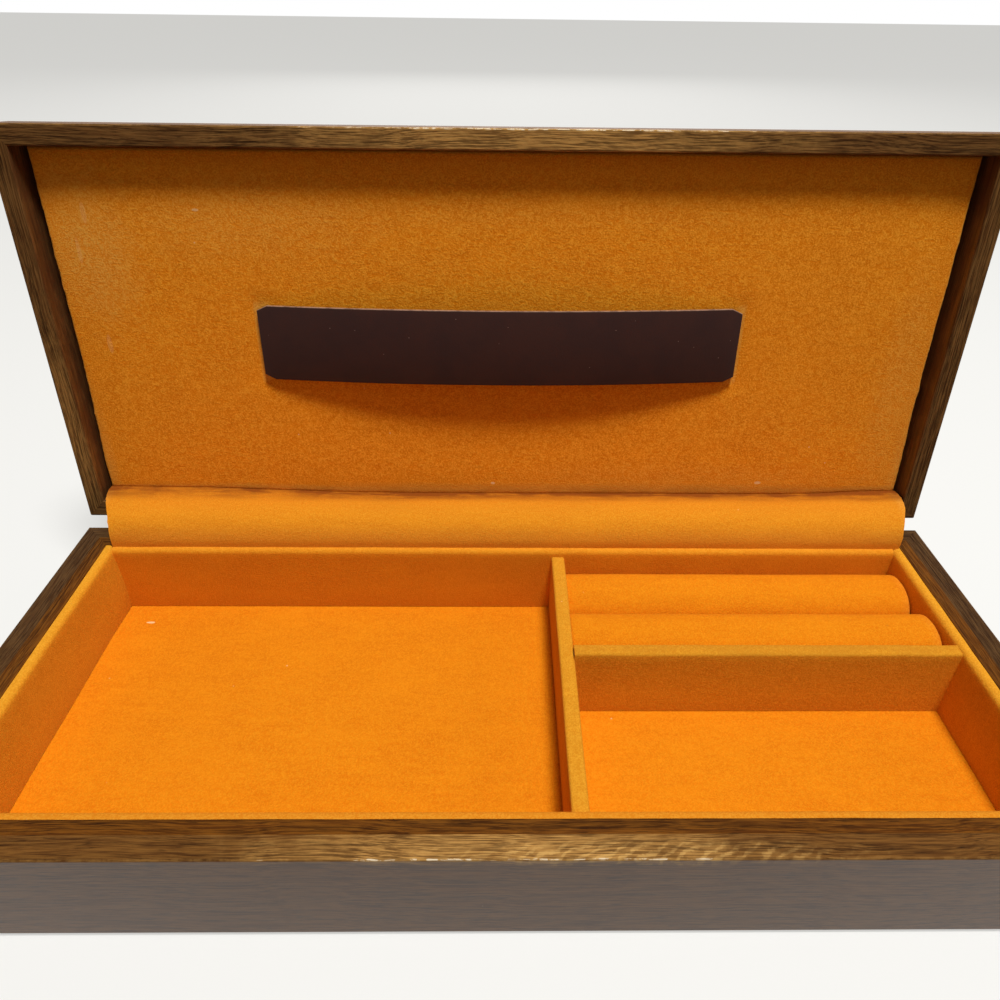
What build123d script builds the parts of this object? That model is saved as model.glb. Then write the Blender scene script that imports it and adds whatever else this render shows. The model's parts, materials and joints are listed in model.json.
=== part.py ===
from build123d import *
import math
import os

# Valet box with a hinged lid, lined in velvet, all sizes in millimetres.
# X runs to the right, Y to the rear, Z up. The origin is the centre of the underside.
# The lid stands open at rest, leaning back on the stops of its two hinges.

# Case
case_length = 330.0
case_depth = 140.0
case_corner_radius = 1.2
felt_thickness = 1.0
felt_inset = 1.5

# Base walls, their inner frame and the bottom panel
wall_height = 35.0
wall_thickness = 7.0
inner_frame_thickness = 4.6
bottom_panel_thickness = 3.2
panel_rebate = 3.5
panel_clearance = 0.1
edge_ease = 0.6

# Floor and lining
floor_board_thickness = 2.1
floor_velvet_thickness = 1.1
lining_board_thickness = 1.7
velvet_thickness = 1.2
lining_drop = 0.3

# Dividers, placed from the middle of the box and from its rear face
divider_core_thickness = 2.6
long_divider_x = 19.3
long_divider_drop = 3.2
cross_divider_drop = 1.2
cross_divider_front = 68.3
cross_divider_gap = 0.4

# Ring rolls
ring_roll_count = 2
rear_roll_drop = 5.6
front_roll_drop = 3.6
roll_clearance = 0.2
roll_flat = 0.5
roll_radius = 11.0
roll_end_chamfer = 1.2
roll_seat_gap = 0.5

# Lid
lid_height = 16.0
lid_rail_thickness = 6.5
lid_top_radius = 2.0
lid_panel_thickness = 3.0
lid_recess = 6.0
rim_gap = 0.2
pad_side_gap = 2.5
pad_front_gap = 1.5
pad_rear_gap = 3.7
pad_foam_thickness = 3.2
pad_edge_thickness = 1.0
open_angle = 96.0

# Lid strap
strap_length = 173.6
strap_width = 26.2
strap_thickness = 1.6
strap_stand_off = 7.4
strap_from_rear = 68.1
strap_shift = -2.6
strap_corner_x = 3.6
strap_corner_y = 2.2
slit_clearance = 0.3

# Hinges
hinge_from_end = 60.0
hinge_length = 30.0
hinge_leaf_thickness = 1.2
base_leaf_depth = 6.0
lid_leaf_depth = 5.5
barrel_radius = 1.9
barrel_behind = 3.0
end_knuckle_length = 8.0
knuckle_gap = 0.2
pin_radius = 0.9
pin_clearance = 0.05
pin_head_radius = 1.4
pin_head_height = 0.7
barrel_relief = 0.25
flange_thickness = 1.0
flange_drop = 7.0
stop_lug_reach = 5.5
stop_clearance = 0.1
mortise_clearance = 0.1

# Hinge screws
screw_head_radius = 1.7
screw_shank_radius = 0.8
screw_length = 6.0
screw_spacing = 20.0
screw_clearance = 0.05

# Velvet flap over the hinges
flap_thickness = 1.2
flap_end_overlap = 0.5
flap_bulge = 6.0
flap_rise = 4.0
flap_lid_clearance = 0.35

# Worked out from the sizes above
rear_face = case_depth / 2
rim_z = felt_thickness + wall_height
lid_rim_z = rim_z + rim_gap
panel_top = felt_thickness + bottom_panel_thickness
floor_z = panel_top + floor_board_thickness + floor_velvet_thickness
lining_thickness = lining_board_thickness + velvet_thickness
rim_width = wall_thickness + inner_frame_thickness
lining_top = rim_z - lining_drop
frame_x = case_length / 2 - rim_width
frame_y = case_depth / 2 - rim_width
inside_x = frame_x - lining_thickness
inside_y = frame_y - lining_thickness
divider_thickness = divider_core_thickness + 2 * velvet_thickness
pin_y = rear_face + barrel_behind
pin_z = rim_z + rim_gap / 2
pad_face_z = lid_rim_z + lid_recess
lid_panel_z = lid_rim_z + lid_height - lid_panel_thickness
pin_axis = Axis((0, pin_y, pin_z), (1, 0, 0))


def slab(x_range, y_range, z_range):
    """A block between the given limits."""
    size = [high - low for low, high in (x_range, y_range, z_range)]
    middle = [(high + low) / 2 for low, high in (x_range, y_range, z_range)]
    return Pos(*middle) * Box(*size)


def write(name, *solids):
    """Writes one node, which may hold several separate solids."""
    shape = solids[0] if len(solids) == 1 else Compound(children=list(solids))
    export_step(shape, f"parts/{name}.step")


def write_sides(name, pieces):
    """Writes a set of four pieces, one for each side of the box."""
    for side, piece in pieces.items():
        write(f"{name}_{side}", piece)


def one(shape):
    """The single solid of a shape that a cut or a common may have wrapped."""
    solids = shape.solids()
    return max(solids, key=lambda solid: solid.volume)


def eased(outline, points, radius):
    """Rounds the corners of an outline that lie at the given points."""
    corners = [
        vertex
        for vertex in outline.vertices()
        if any(math.dist((vertex.X, vertex.Y), point) < 0.01 for point in points)
    ]
    return fillet(corners, radius)


def mitred_frame(length, depth, thickness, outline, z, corner_radius=0.0):
    """Four rails of one section, mitred at the corners of a rectangle."""
    x, y = length / 2, depth / 2
    height = outline.bounding_box().max.Y
    inner_x, inner_y = x - thickness, y - thickness
    starts = {
        "front": ((-x, -y, z), (0, 1, 0), (1, 0, 0), length),
        "rear": ((x, y, z), (0, -1, 0), (-1, 0, 0), length),
        "left": ((-x, y, z), (1, 0, 0), (0, -1, 0), depth),
        "right": ((x, -y, z), (-1, 0, 0), (0, 1, 0), depth),
    }
    plans = {
        "front": [(-x, -y), (x, -y), (inner_x, -inner_y), (-inner_x, -inner_y)],
        "rear": [(x, y), (-x, y), (-inner_x, inner_y), (inner_x, inner_y)],
        "left": [(-x, y), (-x, -y), (-inner_x, -inner_y), (-inner_x, inner_y)],
        "right": [(x, -y), (x, y), (inner_x, inner_y), (inner_x, -inner_y)],
    }
    rails = {}
    for side, (origin, inward, along, run) in starts.items():
        plane = Plane(origin=origin, x_dir=inward, z_dir=along)
        rail = extrude(plane * outline, run)
        plan = Pos(0, 0, z) * make_face(Polyline(*plans[side], close=True))
        rail = rail & extrude(plan, height)
        if corner_radius:
            block = Pos(0, 0, z) * RectangleRounded(length, depth, corner_radius)
            rail = rail & extrude(block, height)
        rails[side] = one(rail)
    return rails


def rebated_section(thickness, height, rebate, panel, panel_at_top):
    """Section of a rail, from its outer face inwards, with a rebate for a panel."""
    if panel_at_top:
        points = [
            (0, 0), (thickness, 0), (thickness, height - panel),
            (thickness - rebate, height - panel), (thickness - rebate, height), (0, height),
        ]
    else:
        points = [
            (0, 0), (thickness - rebate, 0), (thickness - rebate, panel),
            (thickness, panel), (thickness, height), (0, height),
        ]
    return make_face(Polyline(*points, close=True))


def base_walls():
    """Four mitred walls with a rebate under them for the bottom panel."""
    section = rebated_section(
        wall_thickness, wall_height, panel_rebate, bottom_panel_thickness, False
    )
    section = eased(section, [(0, wall_height), (0, 0)], edge_ease)
    return mitred_frame(
        case_length, case_depth, wall_thickness, section, felt_thickness, case_corner_radius
    )


def inner_frame():
    """Four dark strips inside the walls, level with their rim."""
    height = rim_z - panel_top
    section = make_face(
        Polyline(
            (0, 0), (inner_frame_thickness, 0), (inner_frame_thickness, height), (0, height),
            close=True,
        )
    )
    section = eased(section, [(inner_frame_thickness, height)], edge_ease)
    length = case_length - 2 * wall_thickness
    depth = case_depth - 2 * wall_thickness
    return mitred_frame(length, depth, inner_frame_thickness, section, panel_top)


def bottom_panel():
    """Panel let into the rebate of the walls."""
    x = case_length / 2 - wall_thickness + panel_rebate - panel_clearance
    y = case_depth / 2 - wall_thickness + panel_rebate - panel_clearance
    return slab((-x, x), (-y, y), (felt_thickness, panel_top))


def base_felt():
    """Felt sheet under the whole box, with rounded corners."""
    sheet = RectangleRounded(case_length - 2 * felt_inset, case_depth - 2 * felt_inset, 3)
    return extrude(sheet, felt_thickness)


def floor_pieces():
    """Card floor and the velvet laid on it."""
    board_top = panel_top + floor_board_thickness
    board = slab((-frame_x, frame_x), (-frame_y, frame_y), (panel_top, board_top))
    velvet = slab((-frame_x, frame_x), (-frame_y, frame_y), (board_top, floor_z))
    return board, velvet


def lining_section(height):
    """Card and velvet sections of a lining, from the frame inwards, up from the floor."""
    card_height = height - velvet_thickness
    card = make_face(
        Polyline(
            (0, 0), (lining_board_thickness, 0), (lining_board_thickness, card_height),
            (0, card_height), close=True,
        )
    )
    velvet = make_face(
        Polyline(
            (lining_board_thickness, 0), (lining_thickness, 0), (lining_thickness, height),
            (0, height), (0, card_height), (lining_board_thickness, card_height), close=True,
        )
    )
    velvet = eased(velvet, [(lining_thickness, height)], velvet_thickness * 0.9)
    return card, velvet


def linings():
    """Velvet-covered cards on the four sides; the end cards run the full depth."""
    card, velvet = lining_section(lining_top - floor_z)
    starts = {
        "front": ((-inside_x, -frame_y, floor_z), (0, 1, 0), (1, 0, 0), 2 * inside_x),
        "rear": ((inside_x, frame_y, floor_z), (0, -1, 0), (-1, 0, 0), 2 * inside_x),
        "left": ((-frame_x, frame_y, floor_z), (1, 0, 0), (0, -1, 0), 2 * frame_y),
        "right": ((frame_x, -frame_y, floor_z), (-1, 0, 0), (0, 1, 0), 2 * frame_y),
    }
    boards, velvets = {}, {}
    for side, (origin, inward, along, run) in starts.items():
        plane = Plane(origin=origin, x_dir=inward, z_dir=along)
        boards[side] = one(extrude(plane * card, run))
        velvets[side] = one(extrude(plane * velvet, run))
    return boards, velvets


def divider(height):
    """Core and velvet sections of a divider, centred, up from the floor."""
    half_core = divider_core_thickness / 2
    half = divider_thickness / 2
    core_height = height - velvet_thickness
    core = make_face(
        Polyline(
            (-half_core, 0), (half_core, 0), (half_core, core_height),
            (-half_core, core_height), close=True,
        )
    )
    cover = make_face(
        Polyline((-half, 0), (half, 0), (half, height), (-half, height), close=True)
    )
    cover = eased(cover, [(half, height), (-half, height)], velvet_thickness * 0.9)
    return core, cover - core


def dividers():
    """The long divider runs front to rear, the cross divider from it to the right side."""
    long_plane = Plane(
        origin=(long_divider_x, -inside_y, floor_z), x_dir=(-1, 0, 0), z_dir=(0, 1, 0)
    )
    long_core, long_velvet = divider(rim_z - long_divider_drop - floor_z)
    start_x = long_divider_x + divider_thickness / 2 + cross_divider_gap
    cross_y = rear_face - cross_divider_front + divider_thickness / 2
    cross_plane = Plane(origin=(start_x, cross_y, floor_z), x_dir=(0, 1, 0), z_dir=(1, 0, 0))
    cross_core, cross_velvet = divider(rim_z - cross_divider_drop - floor_z)
    cross_run = inside_x - start_x
    return {
        "long_divider_core": one(extrude(long_plane * long_core, 2 * inside_y)),
        "long_divider_velvet": one(extrude(long_plane * long_velvet, 2 * inside_y)),
        "cross_divider_core": one(extrude(cross_plane * cross_core, cross_run)),
        "cross_divider_velvet": one(extrude(cross_plane * cross_velvet, cross_run)),
    }


def ring_roll(middle_y, width, drop):
    """A foam roll with a flattened underside and its velvet cover, closed at the right."""
    height = rim_z - drop - floor_z
    start_x = long_divider_x + divider_thickness / 2 + roll_clearance
    end_x = inside_x - roll_seat_gap
    full_height = height + roll_flat
    centre_z = floor_z + full_height / 2 - roll_flat
    plane = Plane(origin=(start_x, middle_y, centre_z), x_dir=(0, 1, 0), z_dir=(1, 0, 0))
    outer = extrude(plane * RectangleRounded(width, full_height, roll_radius), end_x - start_x)
    outer = chamfer(outer.faces().sort_by(Axis.X)[-1].edges(), roll_end_chamfer)
    inner = RectangleRounded(
        width - 2 * velvet_thickness,
        full_height - 2 * velvet_thickness,
        roll_radius - velvet_thickness,
    )
    foam = extrude(plane * inner, end_x - start_x - velvet_thickness)
    above = slab((0, case_length), (-case_depth, case_depth), (floor_z, rim_z + height))
    cover = one((outer - foam) & above)
    return foam, cover


def ring_rolls():
    """The rolls fill the bay between the rear lining and the cross divider."""
    bay_front = rear_face - cross_divider_front + divider_thickness
    bay = inside_y - bay_front
    width = bay / ring_roll_count - roll_clearance
    pieces = {}
    drops = {"rear": rear_roll_drop, "front": front_roll_drop}
    for place, name in enumerate(drops):
        middle_y = inside_y - bay / ring_roll_count * (place + 0.5)
        foam, cover = ring_roll(middle_y, width, drops[name])
        pieces[f"ring_roll_{name}_foam"] = foam
        pieces[f"ring_roll_{name}_velvet"] = cover
    return pieces


def screw(x, y, z, up, clearance=0.0):
    """A countersunk screw whose head lies level at z and whose shank runs down or up."""
    head_height = screw_head_radius - screw_shank_radius
    radius = screw_shank_radius + clearance
    head = Cone(screw_head_radius + clearance, radius, head_height)
    head = Pos(0, 0, head_height / 2) * head
    shank_length = screw_length + clearance - head_height
    shank = Pos(0, 0, head_height + shank_length / 2) * Cylinder(radius, shank_length)
    body = head + shank
    turn = Rotation(0, 0, 0) if up else Rotation(180, 0, 0)
    return Pos(x, y, z) * turn * body


def screw_places(middle_x, leaf_depth):
    """The two screws of one leaf, in the middle of the wood that it lies in."""
    y = rear_face - leaf_depth / 2
    return [(middle_x - screw_spacing / 2, y), (middle_x + screw_spacing / 2, y)]


def barrel(x_range, radius):
    """A cylinder on the hinge pin's axis."""
    length = x_range[1] - x_range[0]
    place = Pos((x_range[0] + x_range[1]) / 2, pin_y, pin_z) * Rotation(0, 90, 0)
    return place * Cylinder(radius, length)


def base_leaf(middle_x):
    """Leaf let into the base rim, with the outer knuckles and a flange behind the wall."""
    low, high = middle_x - hinge_length / 2, middle_x + hinge_length / 2
    inner_low, inner_high = low + end_knuckle_length, high - end_knuckle_length
    plate = slab(
        (low, high), (rear_face - base_leaf_depth, pin_y), (rim_z - hinge_leaf_thickness, rim_z)
    )
    flange = slab(
        (low, high), (rear_face, rear_face + flange_thickness), (rim_z - flange_drop, rim_z)
    )
    leaf = plate + flange + barrel((low, inner_low), barrel_radius)
    leaf = leaf + barrel((inner_high, high), barrel_radius)
    leaf = leaf - barrel((inner_low, inner_high), barrel_radius + barrel_relief)
    leaf = leaf - slab(
        (inner_low, inner_high), (rear_face + flange_thickness, pin_y + barrel_radius), (0, rim_z)
    )
    leaf = leaf - barrel((low - 1, high + 1), pin_radius + pin_clearance)
    for x, y in screw_places(middle_x, base_leaf_depth):
        leaf = leaf - screw(x, y, rim_z, False, screw_clearance)
    return one(leaf)


def lid_leaf(middle_x):
    """Leaf let into the lid rim, with the middle knuckle and its stop lug, lid closed."""
    low, high = middle_x - hinge_length / 2, middle_x + hinge_length / 2
    inner_low = low + end_knuckle_length + knuckle_gap
    inner_high = high - end_knuckle_length - knuckle_gap
    plate = slab(
        (low, high), (rear_face - lid_leaf_depth, rear_face),
        (lid_rim_z, lid_rim_z + hinge_leaf_thickness),
    )
    neck = slab(
        (inner_low, inner_high), (rear_face, pin_y),
        (lid_rim_z, lid_rim_z + hinge_leaf_thickness),
    )
    lean = math.radians(open_angle)
    room = barrel_behind - flange_thickness - stop_clearance
    lug_below = (room + stop_lug_reach * math.cos(lean)) / math.sin(lean)
    lug = slab(
        (inner_low, inner_high), (pin_y, pin_y + stop_lug_reach),
        (pin_z - lug_below, pin_z + barrel_radius),
    )
    leaf = plate + neck + barrel((inner_low, inner_high), barrel_radius) + lug
    leaf = leaf - barrel((low - 1, high + 1), pin_radius + pin_clearance)
    for x, y in screw_places(middle_x, lid_leaf_depth):
        leaf = leaf - screw(x, y, lid_rim_z, True, screw_clearance)
    return one(leaf)


def hinge_pin(middle_x):
    """Pin with a flat head at each end of the barrel."""
    low, high = middle_x - hinge_length / 2, middle_x + hinge_length / 2
    pin = barrel((low, high), pin_radius)
    pin = pin + barrel((low - pin_head_height, low), pin_head_radius)
    return one(pin + barrel((high, high + pin_head_height), pin_head_radius))


def mortise(middle_x, leaf_depth, z_range):
    """The pocket in a rim that one leaf lies in."""
    half = hinge_length / 2 + mortise_clearance
    y_range = (rear_face - leaf_depth - mortise_clearance, rear_face + 1)
    return slab((middle_x - half, middle_x + half), y_range, z_range)


def lid_rails():
    """Four mitred rails, rebated at the top for the panel and rounded outside."""
    section = rebated_section(
        lid_rail_thickness, lid_height, panel_rebate, lid_panel_thickness, True
    )
    section = eased(section, [(0, lid_height)], lid_top_radius)
    section = eased(section, [(0, 0), (lid_rail_thickness, 0)], edge_ease)
    return mitred_frame(
        case_length, case_depth, lid_rail_thickness, section, lid_rim_z, case_corner_radius
    )


def lid_top_panel():
    """Panel let into the top of the rails, level with them."""
    x = case_length / 2 - lid_rail_thickness + panel_rebate - panel_clearance
    y = case_depth / 2 - lid_rail_thickness + panel_rebate - panel_clearance
    return slab((-x, x), (-y, y), (lid_panel_z, lid_panel_z + lid_panel_thickness))


def pad_limits(inset):
    """Plan limits of the lid pad, drawn in by an inset."""
    x = case_length / 2 - lid_rail_thickness - pad_side_gap - inset
    front = -case_depth / 2 + lid_rail_thickness + pad_front_gap + inset
    rear = case_depth / 2 - lid_rail_thickness - pad_rear_gap - inset
    return (-x, x), (front, rear)


def strap_end(side):
    """X limits of the strap's tail on one side."""
    outer = strap_length / 2
    middle = strap_shift + side * (outer - strap_thickness / 2)
    return middle - strap_thickness / 2, middle + strap_thickness / 2


def strap_slits():
    """The two slits through the pad that the strap's tails go into."""
    middle_y = rear_face - strap_from_rear
    half = strap_width / 2 + slit_clearance
    slits = []
    for side in (-1, 1):
        low, high = strap_end(side)
        slits.append(
            slab(
                (low - slit_clearance, high + slit_clearance),
                (middle_y - half, middle_y + half),
                (pad_face_z - 1, lid_panel_z + 1),
            )
        )
    return slits


def lid_pad():
    """Velvet tray, foam and card of the pad, slit for the strap."""
    foam_z = pad_face_z + velvet_thickness
    card_z = foam_z + pad_foam_thickness
    inside = pad_limits(pad_edge_thickness)
    foam = slab(*inside, (foam_z, card_z))
    card = slab(*inside, (card_z, lid_panel_z))
    velvet = slab(*pad_limits(0), (pad_face_z, lid_panel_z))
    velvet = fillet(velvet.faces().sort_by(Axis.Z)[0].edges(), velvet_thickness * 0.6)
    velvet = velvet - slab(*inside, (foam_z, lid_panel_z + 1))
    for slit in strap_slits():
        foam, card, velvet = foam - slit, card - slit, velvet - slit
    return one(card), one(foam), one(velvet)


def lid_strap():
    """Strap that bows out from the pad, with its tails through the slits to the panel."""
    left, right = strap_end(-1)[0], strap_end(1)[1]
    middle = (left + right) / 2
    seat = pad_face_z - strap_thickness
    deepest = pad_face_z - strap_stand_off
    inner_left, inner_right = left + strap_thickness, right - strap_thickness
    outline = Curve() + [
        ThreePointArc((left, seat), (middle, deepest), (right, seat)),
        Polyline((right, seat), (right, lid_panel_z), (inner_right, lid_panel_z)),
        Line((inner_right, lid_panel_z), (inner_right, pad_face_z)),
        ThreePointArc(
            (inner_right, pad_face_z), (middle, deepest + strap_thickness),
            (inner_left, pad_face_z),
        ),
        Line((inner_left, pad_face_z), (inner_left, lid_panel_z)),
        Polyline((inner_left, lid_panel_z), (left, lid_panel_z), (left, seat)),
    ]
    rear_edge = rear_face - strap_from_rear + strap_width / 2
    plane = Plane(origin=(0, rear_edge, 0), x_dir=(1, 0, 0), z_dir=(0, -1, 0))
    strap = extrude(plane * make_face(outline), strap_width)
    for side in (-1, 1):
        end_x = strap_end(side)[0] if side < 0 else strap_end(side)[1]
        for edge_y, turn in ((rear_edge, 1), (rear_edge - strap_width, -1)):
            corner = make_face(
                Polyline(
                    (end_x, edge_y), (end_x - side * strap_corner_x, edge_y),
                    (end_x, edge_y - turn * strap_corner_y), close=True,
                )
            )
            corner = extrude(Pos(0, 0, deepest - 1) * corner, pad_face_z - deepest + 1)
            strap = strap - corner
    return one(strap)


def opened(y, z):
    """Where a point of the closed lid lies with the lid open, as Y and Z."""
    lean = math.radians(open_angle)
    along, above = y - pin_y, z - pin_z
    return (
        pin_y + along * math.cos(lean) + above * math.sin(lean),
        pin_z - along * math.sin(lean) + above * math.cos(lean),
    )


def hinge_flap():
    """Velvet flap from the rear lining up over the hinges to the foot of the lid pad."""
    foot = (inside_y + flap_thickness / 2, lining_top)
    rail_edge = opened(rear_face - lid_rail_thickness, lid_rim_z)
    head = (rail_edge[0] + flap_lid_clearance, rail_edge[1] + flap_rise)
    chord = math.dist(foot, head)
    across = ((head[0] - foot[0]) / chord, (head[1] - foot[1]) / chord)
    normal = (-across[1], across[0])
    crown = [
        (foot[k] + head[k]) / 2 + normal[k] * flap_bulge for k in range(2)
    ]
    radius = (chord ** 2 / 4 + flap_bulge ** 2) / (2 * flap_bulge)
    centre = [crown[k] - normal[k] * radius for k in range(2)]

    def inward(point, depth):
        """A point of the outer arc moved towards the arc's centre."""
        reach = math.dist(point, centre)
        return tuple(point[k] + (centre[k] - point[k]) * depth / reach for k in range(2))

    outline = Curve() + [
        ThreePointArc(foot, tuple(crown), head),
        Line(head, inward(head, flap_thickness)),
        ThreePointArc(
            inward(head, flap_thickness), inward(crown, flap_thickness),
            inward(foot, flap_thickness),
        ),
        Line(inward(foot, flap_thickness), foot),
    ]
    half_width = inside_x + flap_end_overlap
    plane = Plane(origin=(-half_width, 0, 0), x_dir=(0, 1, 0), z_dir=(1, 0, 0))
    flap = extrude(plane * make_face(outline), 2 * half_width)
    above = slab(
        (-case_length, case_length), (-case_depth, case_depth),
        (lining_top, rim_z + case_depth),
    )
    return one(flap & above)


def build():
    """Makes every piece and writes it."""
    os.makedirs("parts", exist_ok=True)
    hinge_x = case_length / 2 - hinge_from_end
    hinge_places = {"left": -hinge_x, "right": hinge_x}

    walls = base_walls()
    frames = inner_frame()
    rails = lid_rails()
    base_screws, lid_screws = [], []
    for name, x in hinge_places.items():
        top = (rim_z - hinge_leaf_thickness, rim_z + 1)
        under = (lid_rim_z - 1, lid_rim_z + hinge_leaf_thickness)
        walls["rear"] = walls["rear"] - mortise(x, base_leaf_depth, top)
        rails["rear"] = rails["rear"] - mortise(x, lid_leaf_depth, under)
        for place in screw_places(x, base_leaf_depth):
            walls["rear"] = walls["rear"] - screw(*place, rim_z, False, screw_clearance)
            base_screws.append(screw(*place, rim_z, False))
        for place in screw_places(x, lid_leaf_depth):
            rails["rear"] = rails["rear"] - screw(*place, lid_rim_z, True, screw_clearance)
            lid_screws.append(screw(*place, lid_rim_z, True))
        write(f"hinge_leaf_base_{name}", base_leaf(x))
        write(f"hinge_pin_{name}", hinge_pin(x))
    walls["rear"], rails["rear"] = one(walls["rear"]), one(rails["rear"])
    write_sides("base_wall", walls)
    write_sides("inner_frame", frames)
    write("base_bottom_panel", bottom_panel())
    write("base_felt", base_felt())
    floor_board, floor_velvet = floor_pieces()
    write("floor_board", floor_board)
    write("floor_velvet", floor_velvet)
    boards, velvets = linings()
    write_sides("lining_board", boards)
    write_sides("lining_velvet", velvets)
    for name, solid in {**dividers(), **ring_rolls()}.items():
        write(name, solid)
    write("hinge_screws_base", *base_screws)
    write("hinge_flap", hinge_flap())

    card, foam, velvet = lid_pad()
    lid = {f"lid_rail_{side}": rail for side, rail in rails.items()}
    lid["lid_top_panel"] = lid_top_panel()
    lid["lid_pad_card"] = card
    lid["lid_pad_foam"] = foam
    lid["lid_pad_velvet"] = velvet
    lid["lid_strap"] = lid_strap()
    for name, x in hinge_places.items():
        lid[f"hinge_leaf_lid_{name}"] = lid_leaf(x)
    for name, solid in lid.items():
        write(name, solid.rotate(pin_axis, -open_angle))
    write("hinge_screws_lid", *[item.rotate(pin_axis, -open_angle) for item in lid_screws])


build()
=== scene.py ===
"""Looks of a flat wooden valet box that stands open, lined in orange velvet.

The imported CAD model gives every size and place. Wood, card, felt and brass keep their CAD
shapes and get their finishes here. Velvet and leather are modelled again as soft pieces.
"""

import json
import logging
import math
from collections.abc import Callable, Iterator
from contextlib import contextmanager
from dataclasses import dataclass
from enum import Enum
from typing import Any

import bmesh
import bpy
from mathutils import Matrix, Vector, noise

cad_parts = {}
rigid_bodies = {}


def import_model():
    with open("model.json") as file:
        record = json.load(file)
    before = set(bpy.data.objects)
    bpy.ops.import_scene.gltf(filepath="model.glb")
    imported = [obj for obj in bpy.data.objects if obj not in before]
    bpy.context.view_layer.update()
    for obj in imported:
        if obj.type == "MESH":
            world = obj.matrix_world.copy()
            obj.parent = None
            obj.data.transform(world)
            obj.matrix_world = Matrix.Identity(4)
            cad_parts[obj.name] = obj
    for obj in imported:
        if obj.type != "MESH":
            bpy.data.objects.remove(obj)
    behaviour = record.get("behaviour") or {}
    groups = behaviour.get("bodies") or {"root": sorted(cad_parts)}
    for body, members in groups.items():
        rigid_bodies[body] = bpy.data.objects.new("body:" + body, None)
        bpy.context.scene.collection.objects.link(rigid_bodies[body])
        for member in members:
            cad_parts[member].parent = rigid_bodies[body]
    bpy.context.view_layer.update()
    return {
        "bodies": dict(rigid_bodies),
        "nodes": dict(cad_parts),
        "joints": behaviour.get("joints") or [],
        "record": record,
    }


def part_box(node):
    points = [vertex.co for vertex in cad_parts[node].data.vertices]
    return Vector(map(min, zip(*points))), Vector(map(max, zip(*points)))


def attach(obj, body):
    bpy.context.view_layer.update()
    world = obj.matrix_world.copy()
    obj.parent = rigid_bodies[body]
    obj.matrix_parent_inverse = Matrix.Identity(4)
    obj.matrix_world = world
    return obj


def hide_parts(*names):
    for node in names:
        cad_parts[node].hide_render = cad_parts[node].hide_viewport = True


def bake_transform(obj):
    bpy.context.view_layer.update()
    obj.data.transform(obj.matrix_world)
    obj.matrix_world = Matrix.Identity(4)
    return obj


Colour = tuple[float, float, float, float]
Piece = bpy.types.Object
Socket = bpy.types.NodeSocket

LOG = logging.getLogger("valet_box")
MM = 0.001


class Axis(Enum):
    """Direction of a rail's grain, or of a row of cuts."""

    X = 0
    Y = 1
    Z = 2


class Side(Enum):
    """Side of the box, with the direction that its lining faces."""

    FRONT = (0, 1)
    REAR = (0, -1)
    LEFT = (1, 0)
    RIGHT = (-1, 0)

    @property
    def label(self) -> str:
        """The side's name as the CAD nodes spell it."""
        return self.name.lower()

    @property
    def run(self) -> Axis:
        """The direction that a rail on this side runs in."""
        return Axis.X if self in (Side.FRONT, Side.REAR) else Axis.Y


def srgb(red: float, green: float, blue: float) -> Colour:
    """Turns a screen colour into the linear one that shaders take.

    Args:
        red: Red, from 0 to 255.
        green: Green, from 0 to 255.
        blue: Blue, from 0 to 255.

    Returns:
        The linear colour with full alpha.
    """

    def linear(step: float) -> float:
        """Linear share of one channel."""
        share = step / 255
        return share / 12.92 if share <= 0.04045 else ((share + 0.055) / 1.055) ** 2.4

    return (linear(red), linear(green), linear(blue), 1.0)


# Modelling


def select_only(piece: Piece) -> None:
    """Makes a piece the only selected and the active one.

    Args:
        piece: The piece to work on.
    """
    bpy.ops.object.select_all(action="DESELECT")
    piece.select_set(True)
    bpy.context.view_layer.objects.active = piece


def take_new(name: str, scale: Vector | tuple) -> Piece:
    """Names the primitive that was just added and stretches it.

    Args:
        name: Name of the piece.
        scale: How much to stretch it along each axis.

    Returns:
        The piece, with its place and size in its mesh.
    """
    piece = bpy.context.object
    piece.name = piece.data.name = name
    piece.scale = scale
    bpy.ops.object.transform_apply(location=True, rotation=True, scale=True)
    return piece


def block(name: str, low: Vector, high: Vector) -> Piece:
    """Adds a cube stretched between two corners.

    Args:
        name: Name of the new piece.
        low: Lowest corner, in metres.
        high: Highest corner, in metres.

    Returns:
        The new piece, with its place in its mesh.
    """
    bpy.ops.object.select_all(action="DESELECT")
    bpy.ops.mesh.primitive_cube_add(size=1, location=(low + high) / 2)
    return take_new(name, high - low)


@contextmanager
def editing(piece: Piece, mode: str = "FACE") -> Iterator[bmesh.types.BMesh]:
    """Opens a piece in edit mode with nothing selected.

    Args:
        piece: The piece to edit.
        mode: Select mode, FACE, EDGE or VERT.

    Yields:
        The edit mesh, for selecting by place.
    """
    select_only(piece)
    bpy.ops.object.mode_set(mode="EDIT")
    bpy.ops.mesh.select_mode(type=mode)
    bpy.ops.mesh.select_all(action="DESELECT")
    yield bmesh.from_edit_mesh(piece.data)
    bpy.ops.object.mode_set(mode="OBJECT")


def pick(items: Any, test: Callable[[Any], bool]) -> None:
    """Selects the faces, edges or points of an edit mesh that pass a test.

    Args:
        items: The faces, edges or points.
        test: Tells which ones to select.
    """
    for item in items:
        if test(item):
            item.select_set(True)


def facing(direction: tuple[float, float, float]) -> Callable[[Any], bool]:
    """A test for faces that look in one direction."""
    return lambda face: face.normal.dot(Vector(direction)) > 0.9


def on_plane(axis: Axis, place: float) -> Callable[[Any], bool]:
    """A test for edges with both ends at one place along an axis."""
    return lambda edge: all(abs(v.co[axis.value] - place) < 1e-5 for v in edge.verts)


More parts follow.
